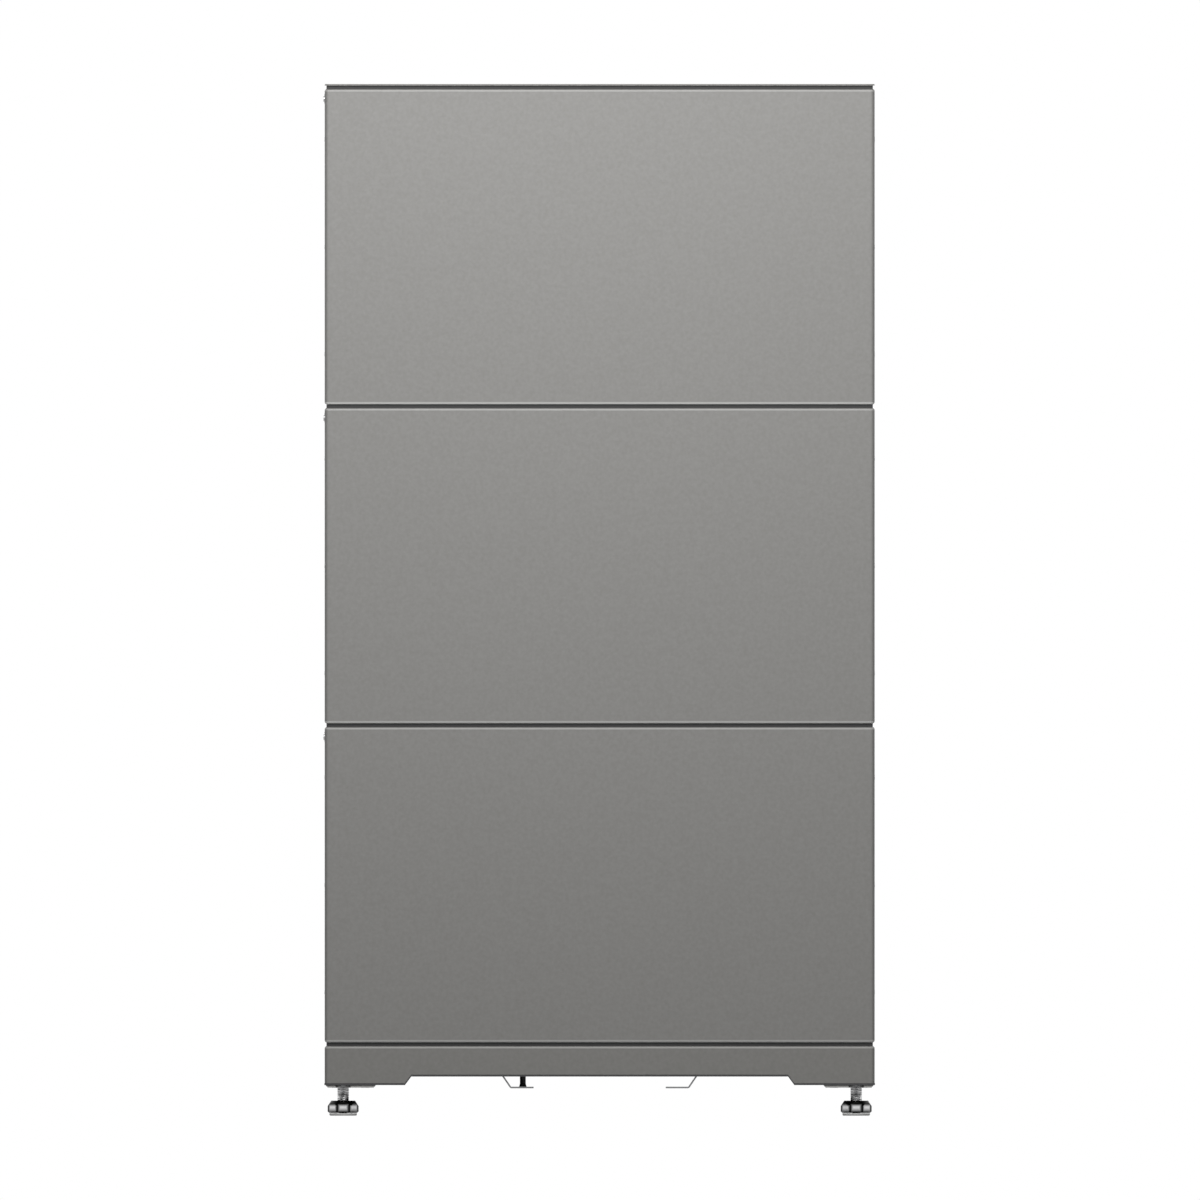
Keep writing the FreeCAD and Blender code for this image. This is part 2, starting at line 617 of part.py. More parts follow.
def frame_outlines():
    """The outer outline of a stacking frame and its three windows."""
    end = f"({HALF_WIDTH} - frame_side_inset - frame_rail)"
    edge = f"({REAR} - frame_front_inset - frame_rail)"
    near, far = f"({LUG_X} - frame_rib / 2)", f"({LUG_X} + frame_rib / 2)"
    return [
        footprint("frame_side_inset", "frame_front_inset"),
        rectangle(f"-{end}", f"-{edge}", f"-{far}", edge),
        rectangle(f"-{near}", f"-{edge}", near, edge),
        rectangle(far, f"-{edge}", end, edge),
    ]


def guide_lugs(piece, root, reach):
    """Two tapered lugs that point down from a root level."""
    tip = "2 * lug_taper"
    roots = lug_outlines("lug_length", "lug_width")
    tips = lug_outlines(f"lug_length - {tip}", f"lug_width - {tip}")
    for at_root, at_tip in zip(roots, tips):
        piece.loft(f"{root} - {reach}", at_tip, root, at_root)


def stacking_frame(label, level):
    """Dark frame under the case: it keeps the seam open, carries the stack above and has the guide lugs."""
    piece = Piece(label, z=level)
    piece.add("XY_Plane", "-seam_gap", "0", *frame_outlines())
    guide_lugs(piece, "-seam_gap", "lug_reach")


def cells(label, level):
    """Prismatic cells in two rows, as many pairs of columns as fit, their terminals to the front."""
    piece = Piece(label, z=level)
    right, top = f"{CELL_LEFT} + cell_thickness", f"{ROW_BOTTOM} + cell_width"
    piece.add("XZ_Plane", CELL_FRONT, INNER_REAR, rectangle(CELL_LEFT, ROW_BOTTOM, right, top))
    piece.row("X", CELL_PITCH, CELL_COLUMNS)
    piece.row("Z", ROW_PITCH, "2")


def busbar_carrier(label, level):
    """Plastic plate over the cells' terminals, with the busbars on its front."""
    piece = Piece(label, z=level)
    outline = rectangle(
        f"{CELL_LEFT} + carrier_margin",
        f"{ROW_BOTTOM} + carrier_margin",
        f"{CELL_RIGHT} - carrier_margin",
        f"{ROW_BOTTOM} + 2 * cell_width + row_gap - carrier_margin",
    )
    piece.add("XZ_Plane", BAR_REAR, CELL_FRONT, outline)


def end_plates(label, level):
    """Two end plates that clamp the cell block, joined by square tie bars."""
    piece = Piece(label, z=level)
    left = f"(block_margin - {HALF_WIDTH})"
    for plate_left in (left, CELL_RIGHT):
        plate = rectangle(
            plate_left, "housing_wall", f"{plate_left} + end_plate", "case_height - housing_wall"
        )
        piece.add("XZ_Plane", CELL_FRONT, INNER_REAR, plate)
    gap = "(row_gap / 2)"
    heights = [
        f"{ROW_BOTTOM} - {gap}",
        f"{ROW_BOTTOM} + cell_width + {gap}",
        f"{ROW_BOTTOM} + 2 * cell_width + row_gap + {gap}",
    ]
    ties = [
        centred(f"({y})", f"({z})", "tie_size", "tie_size")
        for z in heights
        for y in (f"{CELL_FRONT} + tie_setback", f"{INNER_REAR} - tie_setback")
    ]
    piece.add("YZ_Plane", f"{left} + end_plate", CELL_RIGHT, *ties)


def busbars(label, level):
    """Copper bars that join the cells in series, from one output bar to the other."""
    piece = Piece(label, z=level)
    margin, thickness = "busbar_margin", f"{BAR_REAR} - busbar_thickness"
    half = f"(terminal_height / 2 - {margin})"
    reach = f"(terminal_width / 2 - {margin})"
    first = f"({CELL_LEFT} + cell_thickness / 2)"
    last = f"({first} + ({CELL_COLUMNS} - 1) * {CELL_PITCH})"
    lower, upper = (f"({ROW_BOTTOM} + {row} * {ROW_PITCH} + cell_width / 2)" for row in "01")
    stand = "terminal_spacing / 2"
    outer = [f"({lower} - {stand})", f"({upper} + {stand})"]
    inner = [f"({lower} + {stand})", f"({upper} - {stand})"]

    def bars(start, stop, heights):
        """Bars from one cell's terminal to another's, one at each height."""
        shapes = [
            rectangle(f"{start} - {reach}", f"{z} - {half}", f"{stop} + {reach}", f"{z} + {half}")
            for z in heights
        ]
        return piece.add("XZ_Plane", thickness, BAR_REAR, *shapes)

    outer_bars = bars(first, f"{first} + {CELL_PITCH}", outer)
    piece.repeat([outer_bars], "X", f"2 * {CELL_PITCH}", f"{CELL_COLUMNS} / 2")
    inner_bars = bars(f"{first} + {CELL_PITCH}", f"{first} + 2 * {CELL_PITCH}", inner)
    piece.repeat([inner_bars], "X", f"2 * {CELL_PITCH}", f"{CELL_COLUMNS} / 2 - 1")
    outputs = [
        rectangle(
            f"{last} - {reach}", f"{z} - {half}", f"{CELL_RIGHT} + end_plate + output_reach", f"{z} + {half}"
        )
        for z in inner
    ]
    link = rectangle(
        f"{first} - {reach}", f"{inner[0]} - {half}", f"{first} + {reach}", f"{inner[1]} + {half}"
    )
    piece.add("XZ_Plane", thickness, BAR_REAR, *outputs, link)


def bms_board(label, level):
    """Battery management board on four posts, with its relay, fuse and two chokes."""
    piece = Piece(label, z=level)
    left, right = BOARD_LEFT, f"({BOARD_LEFT} + board_width)"
    bottom, top = "board_margin", "(case_height - board_margin)"
    piece.add("XZ_Plane", BOARD_FRONT, BOARD_REAR, rectangle(left, bottom, right, top))
    posts = [
        centred(x, z, "board_post", "board_post")
        for x in (f"({left} + post_inset)", f"({right} - post_inset)")
        for z in (f"({bottom} + post_inset)", f"({top} - post_inset)")
    ]
    piece.add("XZ_Plane", BOARD_REAR, f"{SINK_FLOOR} - housing_wall", *posts)
    part_left, part_top = f"{left} + part_margin", f"{top} - part_margin"
    part_bottom = f"{bottom} + 2 * part_margin"
    relay = rectangle(part_left, part_bottom, f"{part_left} + relay_width", f"{part_bottom} + relay_height")
    piece.add("XZ_Plane", f"{BOARD_FRONT} - relay_depth", BOARD_FRONT, relay)
    fuse = rectangle(part_left, f"{part_top} - fuse_length", f"{part_left} + fuse_width", part_top)
    piece.add("XZ_Plane", f"{BOARD_FRONT} - fuse_width", BOARD_FRONT, fuse)
    choke_x = f"{right} - part_margin - choke_side / 2"
    chokes = [
        centred(choke_x, f"{part_top} - {steps} * choke_side", "choke_side", "choke_side")
        for steps in ("0.5", "1.8")
    ]
    piece.add("XZ_Plane", f"{BOARD_FRONT} - choke_depth", BOARD_FRONT, *chokes)


def contacts(clearance):
    """Outlines of the two power contacts and the signal block, grown by a clearance."""
    blades = [
        centred(x, "0", f"contact_length + 2 * {clearance}", f"contact_thickness + 2 * {clearance}")
        for x in (f"({LINK_X} - contact_spacing / 2)", f"({LINK_X} + contact_spacing / 2)")
    ]
    signal = centred(LINK_X, "0", f"signal_length + 2 * {clearance}", f"signal_width + 2 * {clearance}")
    return [*blades, signal]


def socket(label, level):
    """Open-topped power connector with two flat contacts and a signal block, seated by its flange."""
    piece = Piece(label, z=level)
    top, floor = "case_height + flange_thickness", f"{SOCKET_FLOOR} - socket_wall"
    length, width = "(socket_length + 2 * socket_wall)", "(socket_width + 2 * socket_wall)"
    flange = centred(LINK_X, "0", f"{length} + 2 * socket_flange", f"{width} + 2 * socket_flange")
    piece.add("XY_Plane", floor, "case_height", centred(LINK_X, "0", length, width))
    piece.add("XY_Plane", "case_height", top, flange)
    piece.cut("XY_Plane", SOCKET_FLOOR, top, centred(LINK_X, "0", "socket_length", "socket_width"))
    piece.add("XY_Plane", SOCKET_FLOOR, f"{SOCKET_FLOOR} + contact_height", *contacts("0"))


def plug(label, level):
    """Power connector under the case, with slots for the contacts of the case below."""
    piece = Piece(label, z=level)
    bottom, top = "-(seam_gap + plug_reach)", "housing_wall + flange_thickness"
    flange = centred(LINK_X, "0", f"{PLUG_LENGTH} + 2 * socket_flange", f"{PLUG_WIDTH} + 2 * socket_flange")
    piece.add("XY_Plane", bottom, "housing_wall", centred(LINK_X, "0", PLUG_LENGTH, PLUG_WIDTH))
    piece.add("XY_Plane", "housing_wall", top, flange)
    slot_top = "contact_height - socket_depth - seam_gap + plug_clearance"
    piece.cut("XY_Plane", bottom, slot_top, *contacts("slot_clearance"))


def vent_valve(label, level):
    """Pressure valve in the floor of the finned recess, under the fins."""
    piece = Piece(label, z=level)
    cap = hexagon(LINK_X, "valve_height", "valve_cap")
    shank = centred(LINK_X, "valve_height", "valve_shank", "valve_shank")
    piece.add("XZ_Plane", SINK_FLOOR, f"{SINK_FLOOR} + valve_cap_height", cap)
    piece.add("XZ_Plane", f"{SINK_FLOOR} - valve_length", SINK_FLOOR, shank)


def battery_module(number):
    """Every piece of one module, at its place in the stack."""
    level = f"({BASE_TOP} + seam_gap + {number - 1} * {CASE_STEP})"
    for name, make in {
        "housing": housing,
        "front_cover": front_cover,
        "gasket": gasket,
        "stacking_frame": stacking_frame,
        "cells": cells,
        "busbar_carrier": busbar_carrier,
        "end_plates": end_plates,
        "busbars": busbars,
        "bms_board": bms_board,
        "top_socket": socket,
        "bottom_plug": plug,
        "vent_valve": vent_valve,
    }.items():
        make(f"module_{number}_{name}", level)


def top_cover():
    """Thin lid on an inset rim, located by two tapered lugs in the pockets of the top module."""
    piece = Piece("top_cover", z=f"({BASE_TOP} + {len(MODULES)} * {CASE_STEP})")
    piece.add("XY_Plane", "seam_gap", "seam_gap + lid_thickness", footprint("0", "0"))
    piece.dress("Fillet", "side_radius", lambda edge: runs(edge, "z"))
    top = value("seam_gap + lid_thickness")
    piece.dress("Chamfer", "lid_bevel", lambda edge: lies(edge, "Z", top))
    piece.add("XY_Plane", "0", "seam_gap", *frame_outlines())
    guide_lugs(piece, "0", "peg_reach")


def base_shell():
    """Base shell: an upturned tray whose front and rear lower edges are raised in the middle."""
    piece = Piece("base_shell")
    piece.add("XY_Plane", "skirt_bottom", BASE_TOP, footprint("0", "0"))
    piece.dress("Fillet", "side_radius", lambda edge: runs(edge, "z"))
    top = value(BASE_TOP)
    piece.dress("Fillet", "edge_radius", lambda edge: lies(edge, "Z", top))
    piece.cut("XY_Plane", "skirt_bottom", BASE_CEILING, footprint("skirt_wall", "skirt_wall"))
    half = f"({HALF_WIDTH} - arch_end)"
    arch = [
        (f"-{half} - arch_slope", "skirt_bottom"),
        (f"{half} + arch_slope", "skirt_bottom"),
        (half, "skirt_bottom + arch_rise"),
        (f"-{half}", "skirt_bottom + arch_rise"),
    ]
    piece.cut("XZ_Plane", FRONT, REAR, arch)
    piece.cut(
        "XY_Plane",
        BASE_CEILING,
        BASE_TOP,
        *lug_outlines(POCKET_LENGTH, POCKET_WIDTH),
        socket_opening(),
    )


def base_frame():
    """Welded frame: two hollow end beams over the feet, joined by two channel rails."""
    piece = Piece("base_frame")
    for left, right in ((f"-{BEAM_OUT}", f"-{BEAM_IN}"), (BEAM_IN, BEAM_OUT)):
        outer = rectangle(left, "skirt_bottom", right, BASE_CEILING)
        inner = rectangle(
            f"{left} + beam_wall",
            "skirt_bottom + beam_wall",
            f"{right} - beam_wall",
            f"{BASE_CEILING} - beam_wall",
        )
        piece.add("XZ_Plane", f"-{BEAM_END}", BEAM_END, outer, inner)
    foot = f"{BASE_CEILING} - rail_height"
    for middle in (f"-{RAIL_Y}", RAIL_Y):
        near, far = f"{middle} - rail_width / 2", f"{middle} + rail_width / 2"
        channel = [
            (near, foot),
            (f"{near} + rail_wall", foot),
            (f"{near} + rail_wall", f"{BASE_CEILING} - rail_wall"),
            (f"{far} - rail_wall", f"{BASE_CEILING} - rail_wall"),
            (f"{far} - rail_wall", foot),
            (far, foot),
            (far, BASE_CEILING),
            (near, BASE_CEILING),
        ]
        piece.add("YZ_Plane", f"-{BEAM_IN}", BEAM_IN, channel)
    holes = [hexagon(x, y, BUSH_CORNER, upright=True) for x, y in foot_places()]
    piece.cut("XY_Plane", "skirt_bottom", "skirt_bottom + beam_wall", *holes)


def foot_places():
    """The centres of the four feet."""
    return [(f"{side} * {FOOT_X}", f"{end} * {FOOT_Y}") for side, end in FEET.values()]


def base_foot_plates():
    """Bevelled plates under the end beams, notched at both ends round the bushes."""
    piece = Piece("base_foot_plates")
    left, end = f"(plate_outer - {HALF_WIDTH})", f"({REAR} - plate_end_gap)"
    low = "skirt_bottom - plate_thickness"
    piece.add("XY_Plane", low, "skirt_bottom", rectangle(left, f"-{end}", f"{left} + plate_width", end))
    level = value(low)
    piece.dress("Chamfer", "plate_bevel", lambda edge: runs(edge, "y") and lies(edge, "Z", level))
    across, along = f"({BUSH_FLAT} + notch_clearance)", f"({BUSH_CORNER} + notch_clearance)"
    slots = [
        rectangle(f"-{FOOT_X} - {across}", near, f"-{FOOT_X} + {across}", far)
        for near, far in ((f"{FOOT_Y} - {along}", end), (f"-{end}", f"{along} - {FOOT_Y}"))
    ]
    piece.cut("XY_Plane", low, "skirt_bottom", *slots)
    piece.mirror("YZ_Plane")


def base_bushes():
    """Four hexagonal threaded bushes that carry the levelling feet."""
    piece = Piece("base_bushes")
    low = "skirt_bottom - bush_drop"
    outlines = [hexagon(x, y, BUSH_CORNER, upright=True) for x, y in foot_places()]
    bores = [disc(x, y, BUSH_BORE) for x, y in foot_places()]
    piece.add("XY_Plane", low, f"{low} + bush_height", *outlines, *bores)


def base_cable_hooks():
    """Two bent-sheet cable hooks that hang below the raised lower edge."""
    piece = Piece("base_cable_hooks")
    knee_turn = f"hook_sheet * tan(atan(hook_slope / {HOOK_RISE}) / 2)"
    foot_turn = f"hook_sheet * tan(atan({HOOK_RISE} / hook_slope) / 2)"
    flat_start, flat_end = "-hook_x + hook_slope", "-hook_x + hook_slope + hook_flat"
    outline = [
        ("-hook_x", BASE_CEILING),
        ("-hook_x", "hook_knee"),
        (flat_start, "hook_bottom"),
        (flat_end, "hook_bottom"),
        (flat_end, "hook_bottom + hook_sheet"),
        (f"{flat_start} + {foot_turn}", "hook_bottom + hook_sheet"),
        ("-hook_x + hook_sheet", f"hook_knee + {knee_turn}"),
        ("-hook_x + hook_sheet", f"{BASE_CEILING} - hook_sheet"),
        ("-hook_x + hook_tab", f"{BASE_CEILING} - hook_sheet"),
        ("-hook_x + hook_tab", BASE_CEILING),
    ]
    piece.add("XZ_Plane", "-hook_width / 2", "hook_width / 2", outline)
    bends = value("hook_knee"), value("hook_bottom")
    outer_edges = value("-hook_x"), value(flat_start)
    piece.dress(
        "Fillet",
        "hook_bend + hook_sheet",
        lambda edge: runs(edge, "y")
        and any(
            abs(edge.BoundBox.XMin - x) < 1e-3 and abs(edge.BoundBox.ZMin - z) < 1e-3
            for x, z in zip(outer_edges, bends)
        ),
    )
    piece.mirror("YZ_Plane")


def base_hook_post():
    """Black post with a flared foot on the left cable hook."""
    piece = Piece("base_hook_post", x="-post_x", z="hook_bottom + hook_sheet")
    outline = [
        ("0", "0"),
        ("post_foot", "0"),
        ("post_radius", "post_flare"),
        ("post_radius", "post_height"),
        ("0", "post_height"),
    ]
    piece.turn(outline)


def base_terminals():
    """Terminal block under the base top: two cable inlets and a data port, facing down."""
    piece = Piece("base_terminals")
    foot = f"({BASE_CEILING} - terminal_drop)"
    block = centred("terminal_x", "0", "terminal_block", "terminal_depth")
    piece.add("XY_Plane", foot, BASE_CEILING, block)
    inlets = "terminal_x - inlet_spacing", "terminal_x"
    mouth = f"({foot} - inlet_length)"
    piece.add("XY_Plane", mouth, foot, *[hexagon(x, "0", "inlet_corner") for x in inlets])
    piece.cut(
        "XY_Plane", mouth, f"{mouth} + inlet_bore_depth", *[disc(x, "0", "inlet_bore") for x in inlets]
    )
    port_x, port = "terminal_x + inlet_spacing", f"({foot} - data_length)"
    piece.add("XY_Plane", port, foot, centred(port_x, "0", "data_width", "data_depth"))
    recess = centred(port_x, "0", "data_width - 2 * data_wall", "data_depth - 2 * data_wall")
    piece.cut("XY_Plane", port, f"{port} + data_bore_depth", recess)


def foot_screw(label, x, y):
    """Threaded stud with a bevelled hexagon at its foot, hollow underneath for the pad's stud."""
    piece = Piece(label, x=x, y=y)
    piece.add("XY_Plane", HEX_BOTTOM, "hex_top", hexagon("0", "0", "hex_corner"))
    top = value("hex_top")
    bevel = piece.dress("Chamfer", "hex_bevel", lambda edge: lies(edge, "Z", top))
    bevel.ChamferType = "Two distances"
    bevel.setExpression("Size2", bound("(hex_corner - hex_crown) * sqrt(3) / 2"))
    piece.add("XY_Plane", "hex_top", "stud_top", disc("0", "0", "stud_radius"))
    socket_corner = "((snap_corner + swivel_clearance) * 2 / sqrt(3))"
    piece.cut("XY_Plane", HEX_BOTTOM, f"{HEX_BOTTOM} + snap_height", hexagon("0", "0", socket_corner))


def foot_pad(label, x, y):
    """Round pad on the floor, with a snap-in stud that carries the foot and lets it turn."""
    piece = Piece(label, x=x, y=y)
    piece.add("XY_Plane", "0", "pad_thickness", disc("0", "0", "pad_radius"))
    stud = hexagon("0", "0", "snap_corner")
    piece.add("XY_Plane", "pad_thickness", f"{HEX_BOTTOM} + snap_height", stud)


def base():
    """Every piece of the base, and its four levelling feet."""
    base_shell()
    base_frame()
    base_foot_plates()
    base_bushes()
    base_cable_hooks()
    base_hook_post()
    socket("base_socket", f"({BASE_TOP} - case_height)")
    base_terminals()
    for corner, (side, end) in FEET.items():
        foot_screw(f"{corner}_foot_screw", f"{side} * {FOOT_X}", f"{end} * {FOOT_Y}")
        foot_pad(f"{corner}_foot_pad", f"{side} * {FOOT_X}", f"{end} * {FOOT_Y}")


def check_document():
    """Stops if any object failed or any piece has no valid shape."""
    failed = [item.Name for item in DOC.Objects if {"Invalid", "Error"} & set(item.State)]
    bad = [item.Label for item in PIECES if item.Shape.isNull() or not item.Shape.isValid()]
    if failed or bad:
        raise RuntimeError(f"failed objects: {failed}; bad shapes: {bad}")


base()
for number in MODULES:
    battery_module(number)
top_cover()
DOC.recompute()
check_document()
os.makedirs("parts", exist_ok=True)
for item in PIECES:
    item.Shape.exportStep(os.path.join("parts", f"{item.Label}.step"))
    print(f"{item.Label}: {len(item.Shape.Solids)} solids, {item.Shape.Volume / 1000:.2f} cm3")
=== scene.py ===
"""Looks of a stacked home battery: three flat modules on a base with levelling feet, under a thin lid."""

import json
import logging
import math
from collections.abc import Mapping, Sequence
from dataclasses import dataclass, field
from enum import Enum
from typing import ClassVar

import bmesh
import bpy
from mathutils import Matrix, Vector


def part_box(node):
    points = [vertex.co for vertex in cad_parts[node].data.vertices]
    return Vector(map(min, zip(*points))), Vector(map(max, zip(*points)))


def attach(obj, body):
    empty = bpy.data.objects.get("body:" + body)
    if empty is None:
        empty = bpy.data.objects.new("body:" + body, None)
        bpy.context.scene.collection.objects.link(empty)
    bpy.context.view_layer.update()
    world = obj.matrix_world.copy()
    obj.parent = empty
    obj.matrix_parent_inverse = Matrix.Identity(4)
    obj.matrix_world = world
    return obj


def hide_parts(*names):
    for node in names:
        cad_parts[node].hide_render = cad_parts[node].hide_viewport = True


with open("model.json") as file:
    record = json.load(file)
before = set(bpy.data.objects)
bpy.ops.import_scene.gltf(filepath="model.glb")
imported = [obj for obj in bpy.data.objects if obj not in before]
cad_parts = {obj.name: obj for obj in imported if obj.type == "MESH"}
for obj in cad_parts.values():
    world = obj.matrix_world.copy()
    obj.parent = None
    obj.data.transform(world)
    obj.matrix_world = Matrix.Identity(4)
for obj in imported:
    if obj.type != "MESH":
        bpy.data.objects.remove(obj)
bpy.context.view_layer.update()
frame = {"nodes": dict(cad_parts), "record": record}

log = logging.getLogger("stacked_battery")

Tree = bpy.types.NodeTree
Node = bpy.types.Node
Socket = bpy.types.NodeSocket
Mesh = bpy.types.Mesh
Three = tuple[float, float, float]
Steps = Sequence[tuple[float, float]]
Layers = list[tuple[Socket, str]]

FULL_TURN = 2 * math.pi
SIXTH_TURN = FULL_TURN / 6
SMOOTH_BELOW = math.radians(32)

UP, DOWN = Vector((0, 0, 1)), Vector((0, 0, -1))
LEFT, RIGHT = Vector((-1, 0, 0)), Vector((1, 0, 0))
FRONT, BACK = Vector((0, -1, 0)), Vector((0, 1, 0))

# Sockets of a colour Mix node, which share their names with its number sockets.
MIX_FACTOR, MIX_FIRST, MIX_SECOND, MIX_RESULT = 0, 6, 7, 2

# The attribute that marks how much each point of a foot is darkened: a dark crown, painted reflections and
# painted shade on its hexagon, and bands of painted shade on its stud.
SHADE = "shade"


class Slot(Enum):
    """The record's material slots."""

    CASE_PAINT = "case_paint"
    COVER_PAINT = "cover_paint"
    BASE_PAINT = "base_paint"
    DARK_PLASTIC = "dark_plastic"
    CONNECTOR_PLASTIC = "connector_plastic"
    SEAL_RUBBER = "seal_rubber"
    CELL_CAN = "cell_can"
    WHITE_PLASTIC = "white_plastic"
    PLATE_ALUMINIUM = "plate_aluminium"
    BUSBAR_METAL = "busbar_metal"
    BOARD_RESIN = "board_resin"
    ZINC_STEEL = "zinc_steel"
    PLATE_STEEL = "plate_steel"
    BUSH_STEEL = "bush_steel"
    FOOT_STEEL = "foot_steel"
    PAD_PLASTIC = "pad_plastic"


def linear(colour: str) -> tuple[float, float, float, float]:
    """Turns an sRGB hex value, as #rrggbb, into a linear colour with an alpha of 1."""
    channels = [int(colour[i : i + 2], 16) / 255 for i in (1, 3, 5)]
    return (*[c / 12.92 if c <= 0.04045 else ((c + 0.055) / 1.055) ** 2.4 for c in channels], 1.0)


def add_node(
    tree: Tree, kind: str, inputs: Mapping[str | int, object] | None = None, **settings: object
) -> Node:
    """Adds a node to a tree, with its settings and its inputs.

    Args:
        tree: The shader or geometry tree.
        kind: The node's type.
        inputs: A value for each input to set, or the output to link to it.
        settings: Properties of the node.

    Returns:
        The node.
    """
    node = tree.nodes.new(kind)
    for name, setting in settings.items():
        setattr(node, name, setting)
    for key, given in (inputs or {}).items():
        if isinstance(given, Socket):
            tree.links.new(given, node.inputs[key])
        else:
            node.inputs[key].default_value = given
    return node


@dataclass(frozen=True)
class Finish:
    """A surface: what it is made of, and how its texture varies.

    The grain is a bump with a real size, and the mottle a slow change between two close colours.
    """

    MOTTLE_DETAIL: ClassVar[float] = 3.0
    GRAIN_DETAIL: ClassVar[float] = 2.0

    name: str
    colour: str
    mottle_colour: str
    roughness: float
    metallic: float = 0.0
    grain_size: float = 0.0008
    grain_depth: float = 0.00002
    mottle_size: float = 0.03
    drawn_out: float = 1.0

    def material(self) -> bpy.types.Material:
        """Makes the material at the first call.

        Returns:
            The material.
        """
        made = bpy.data.materials.get(self.name)
        if made is None:
            made = bpy.data.materials.new(self.name)
            made.use_nodes = True
            tree = made.node_tree
            tree.nodes.clear()
            coordinates = add_node(tree, "ShaderNodeTexCoord")
            surface = {"Roughness": self.roughness, "Metallic": self.metallic}
            shader = add_node(tree, "ShaderNodeBsdfPrincipled", surface)
            add_node(tree, "ShaderNodeOutputMaterial", {"Surface": shader.outputs["BSDF"]})
            colour = linear(self.colour)
            for share, shown in self.layers(tree, coordinates):
                inputs = {MIX_FACTOR: share, MIX_FIRST: colour, MIX_SECOND: linear(shown)}
                colour = add_node(tree, "ShaderNodeMix", inputs, data_type="RGBA").outputs[MIX_RESULT]
            tree.links.new(colour, shader.inputs["Base Color"])
            tree.links.new(self.relief(tree, coordinates), shader.inputs["Normal"])
        return made

    def layers(self, tree: Tree, coordinates: Node) -> Layers:
        """Adds the nodes of what lies over the plain colour.

        Args:
            tree: The material's tree.
            coordinates: Its texture coordinates.

        Returns:
            How much of each layer shows, and its colour, from the lowest up.
        """
        space = coordinates.outputs["Object"]
        inputs = {"Vector": space, "Scale": 1 / self.mottle_size, "Detail": self.MOTTLE_DETAIL}
        return [(add_node(tree, "ShaderNodeTexNoise", inputs).outputs[0], self.mottle_colour)]

    def relief(self, tree: Tree, coordinates: Node) -> Socket:
        """Adds the nodes of the grain.

        Args:
            tree: The material's tree.
            coordinates: Its texture coordinates.

        Returns:
            The normal.
        """
        inputs = {"Vector": coordinates.outputs["Object"], "Scale": (1 / self.drawn_out, 1.0, 1.0)}
        space = add_node(tree, "ShaderNodeMapping", inputs).outputs[0]
        inputs = {"Vector": space, "Scale": 1 / self.grain_size, "Detail": self.GRAIN_DETAIL}
        grain = add_node(tree, "ShaderNodeTexNoise", inputs)
        inputs = {"Height": grain.outputs[0], "Distance": self.grain_depth, "Strength": 1.0}
        return add_node(tree, "ShaderNodeBump", inputs).outputs["Normal"]


@dataclass(frozen=True)
class PowderCoat(Finish):
    """Polyester powder coat on steel sheet: matt, finely pebbled and mottled, with painted light along its
    roundings.

    Roundings that lean up or down get a pale painted highlight, strongest on those that look down. The
    upper lip of a rounding, down in the seam, and the roundings that turn to the sides get painted shade.
    """

    mottle_size: float = 0.0045
    # The colour of the painted highlight on the roundings.
    highlight_colour: str = "#f6f6f4"
    # The colour of the painted shade in the seams and on the roundings that turn to the sides.
    edge_shade_colour: str = "#2c2b2a"

    # How much of the painted highlight shows, from faces that look down (0) to faces that look up (1).
    EDGE_HIGHLIGHT: ClassVar[Steps] = (
        (0.0, 0.0), (0.01, 1.0), (0.2, 1.0), (0.36, 0.45), (0.47, 0.3), (0.495, 0.0),
        (0.505, 0.0), (0.54, 0.3), (0.7, 0.15), (0.84, 0.0),
    )
    # How much painted shade shows on the upper lip of a rounding, down in the seam, by the same measure.
    SEAM_SHADE: ClassVar[Steps] = ((0.0, 0.0), (0.82, 0.0), (0.95, 0.6), (0.985, 0.6), (0.998, 0.0))
    # How much painted shade shows on the roundings that turn to the sides, from faces that look left (0) to
    # faces that look right (1).
    SIDE_SHADE: ClassVar[Steps] = (
        (0.0, 0.0), (0.004, 0.0), (0.02, 0.3), (0.18, 0.3), (0.36, 0.0),
        (0.64, 0.0), (0.82, 0.3), (0.98, 0.3), (0.996, 0.0),
    )

    def layers(self, tree: Tree, coordinates: Node) -> Layers:
        """Adds the nodes of the mottle, and of the painted highlights and painted shade on the edges.

        Args:
            tree: The material's tree.
            coordinates: Its texture coordinates.

        Returns:
            How much of each layer shows, and its colour, from the lowest up.
        """
        facing = add_node(tree, "ShaderNodeSeparateXYZ", {0: coordinates.outputs["Normal"]})
        layers = super().layers(tree, coordinates)
        # Painted shade on the side roundings and in the seams, and painted highlights on the roundings that
        # lean up or down.
        for axis, steps, shown in (
            (0, self.SIDE_SHADE, self.edge_shade_colour),
            (2, self.EDGE_HIGHLIGHT, self.highlight_colour),
            (2, self.SEAM_SHADE, self.edge_shade_colour),
        ):
            lean = add_node(tree, "ShaderNodeMapRange", {"Value": facing.outputs[axis], "From Min": -1.0})
            share = add_node(tree, "ShaderNodeValToRGB", {0: lean.outputs[0]})
            stops = share.color_ramp.elements
            while len(stops) < len(steps):
                stops.new(1.0)
            for stop, (at, amount) in zip(stops, steps):
                stop.position = at
                stop.color = (amount, amount, amount, 1.0)
            layers.append((share.outputs["Color"], shown))
        return layers


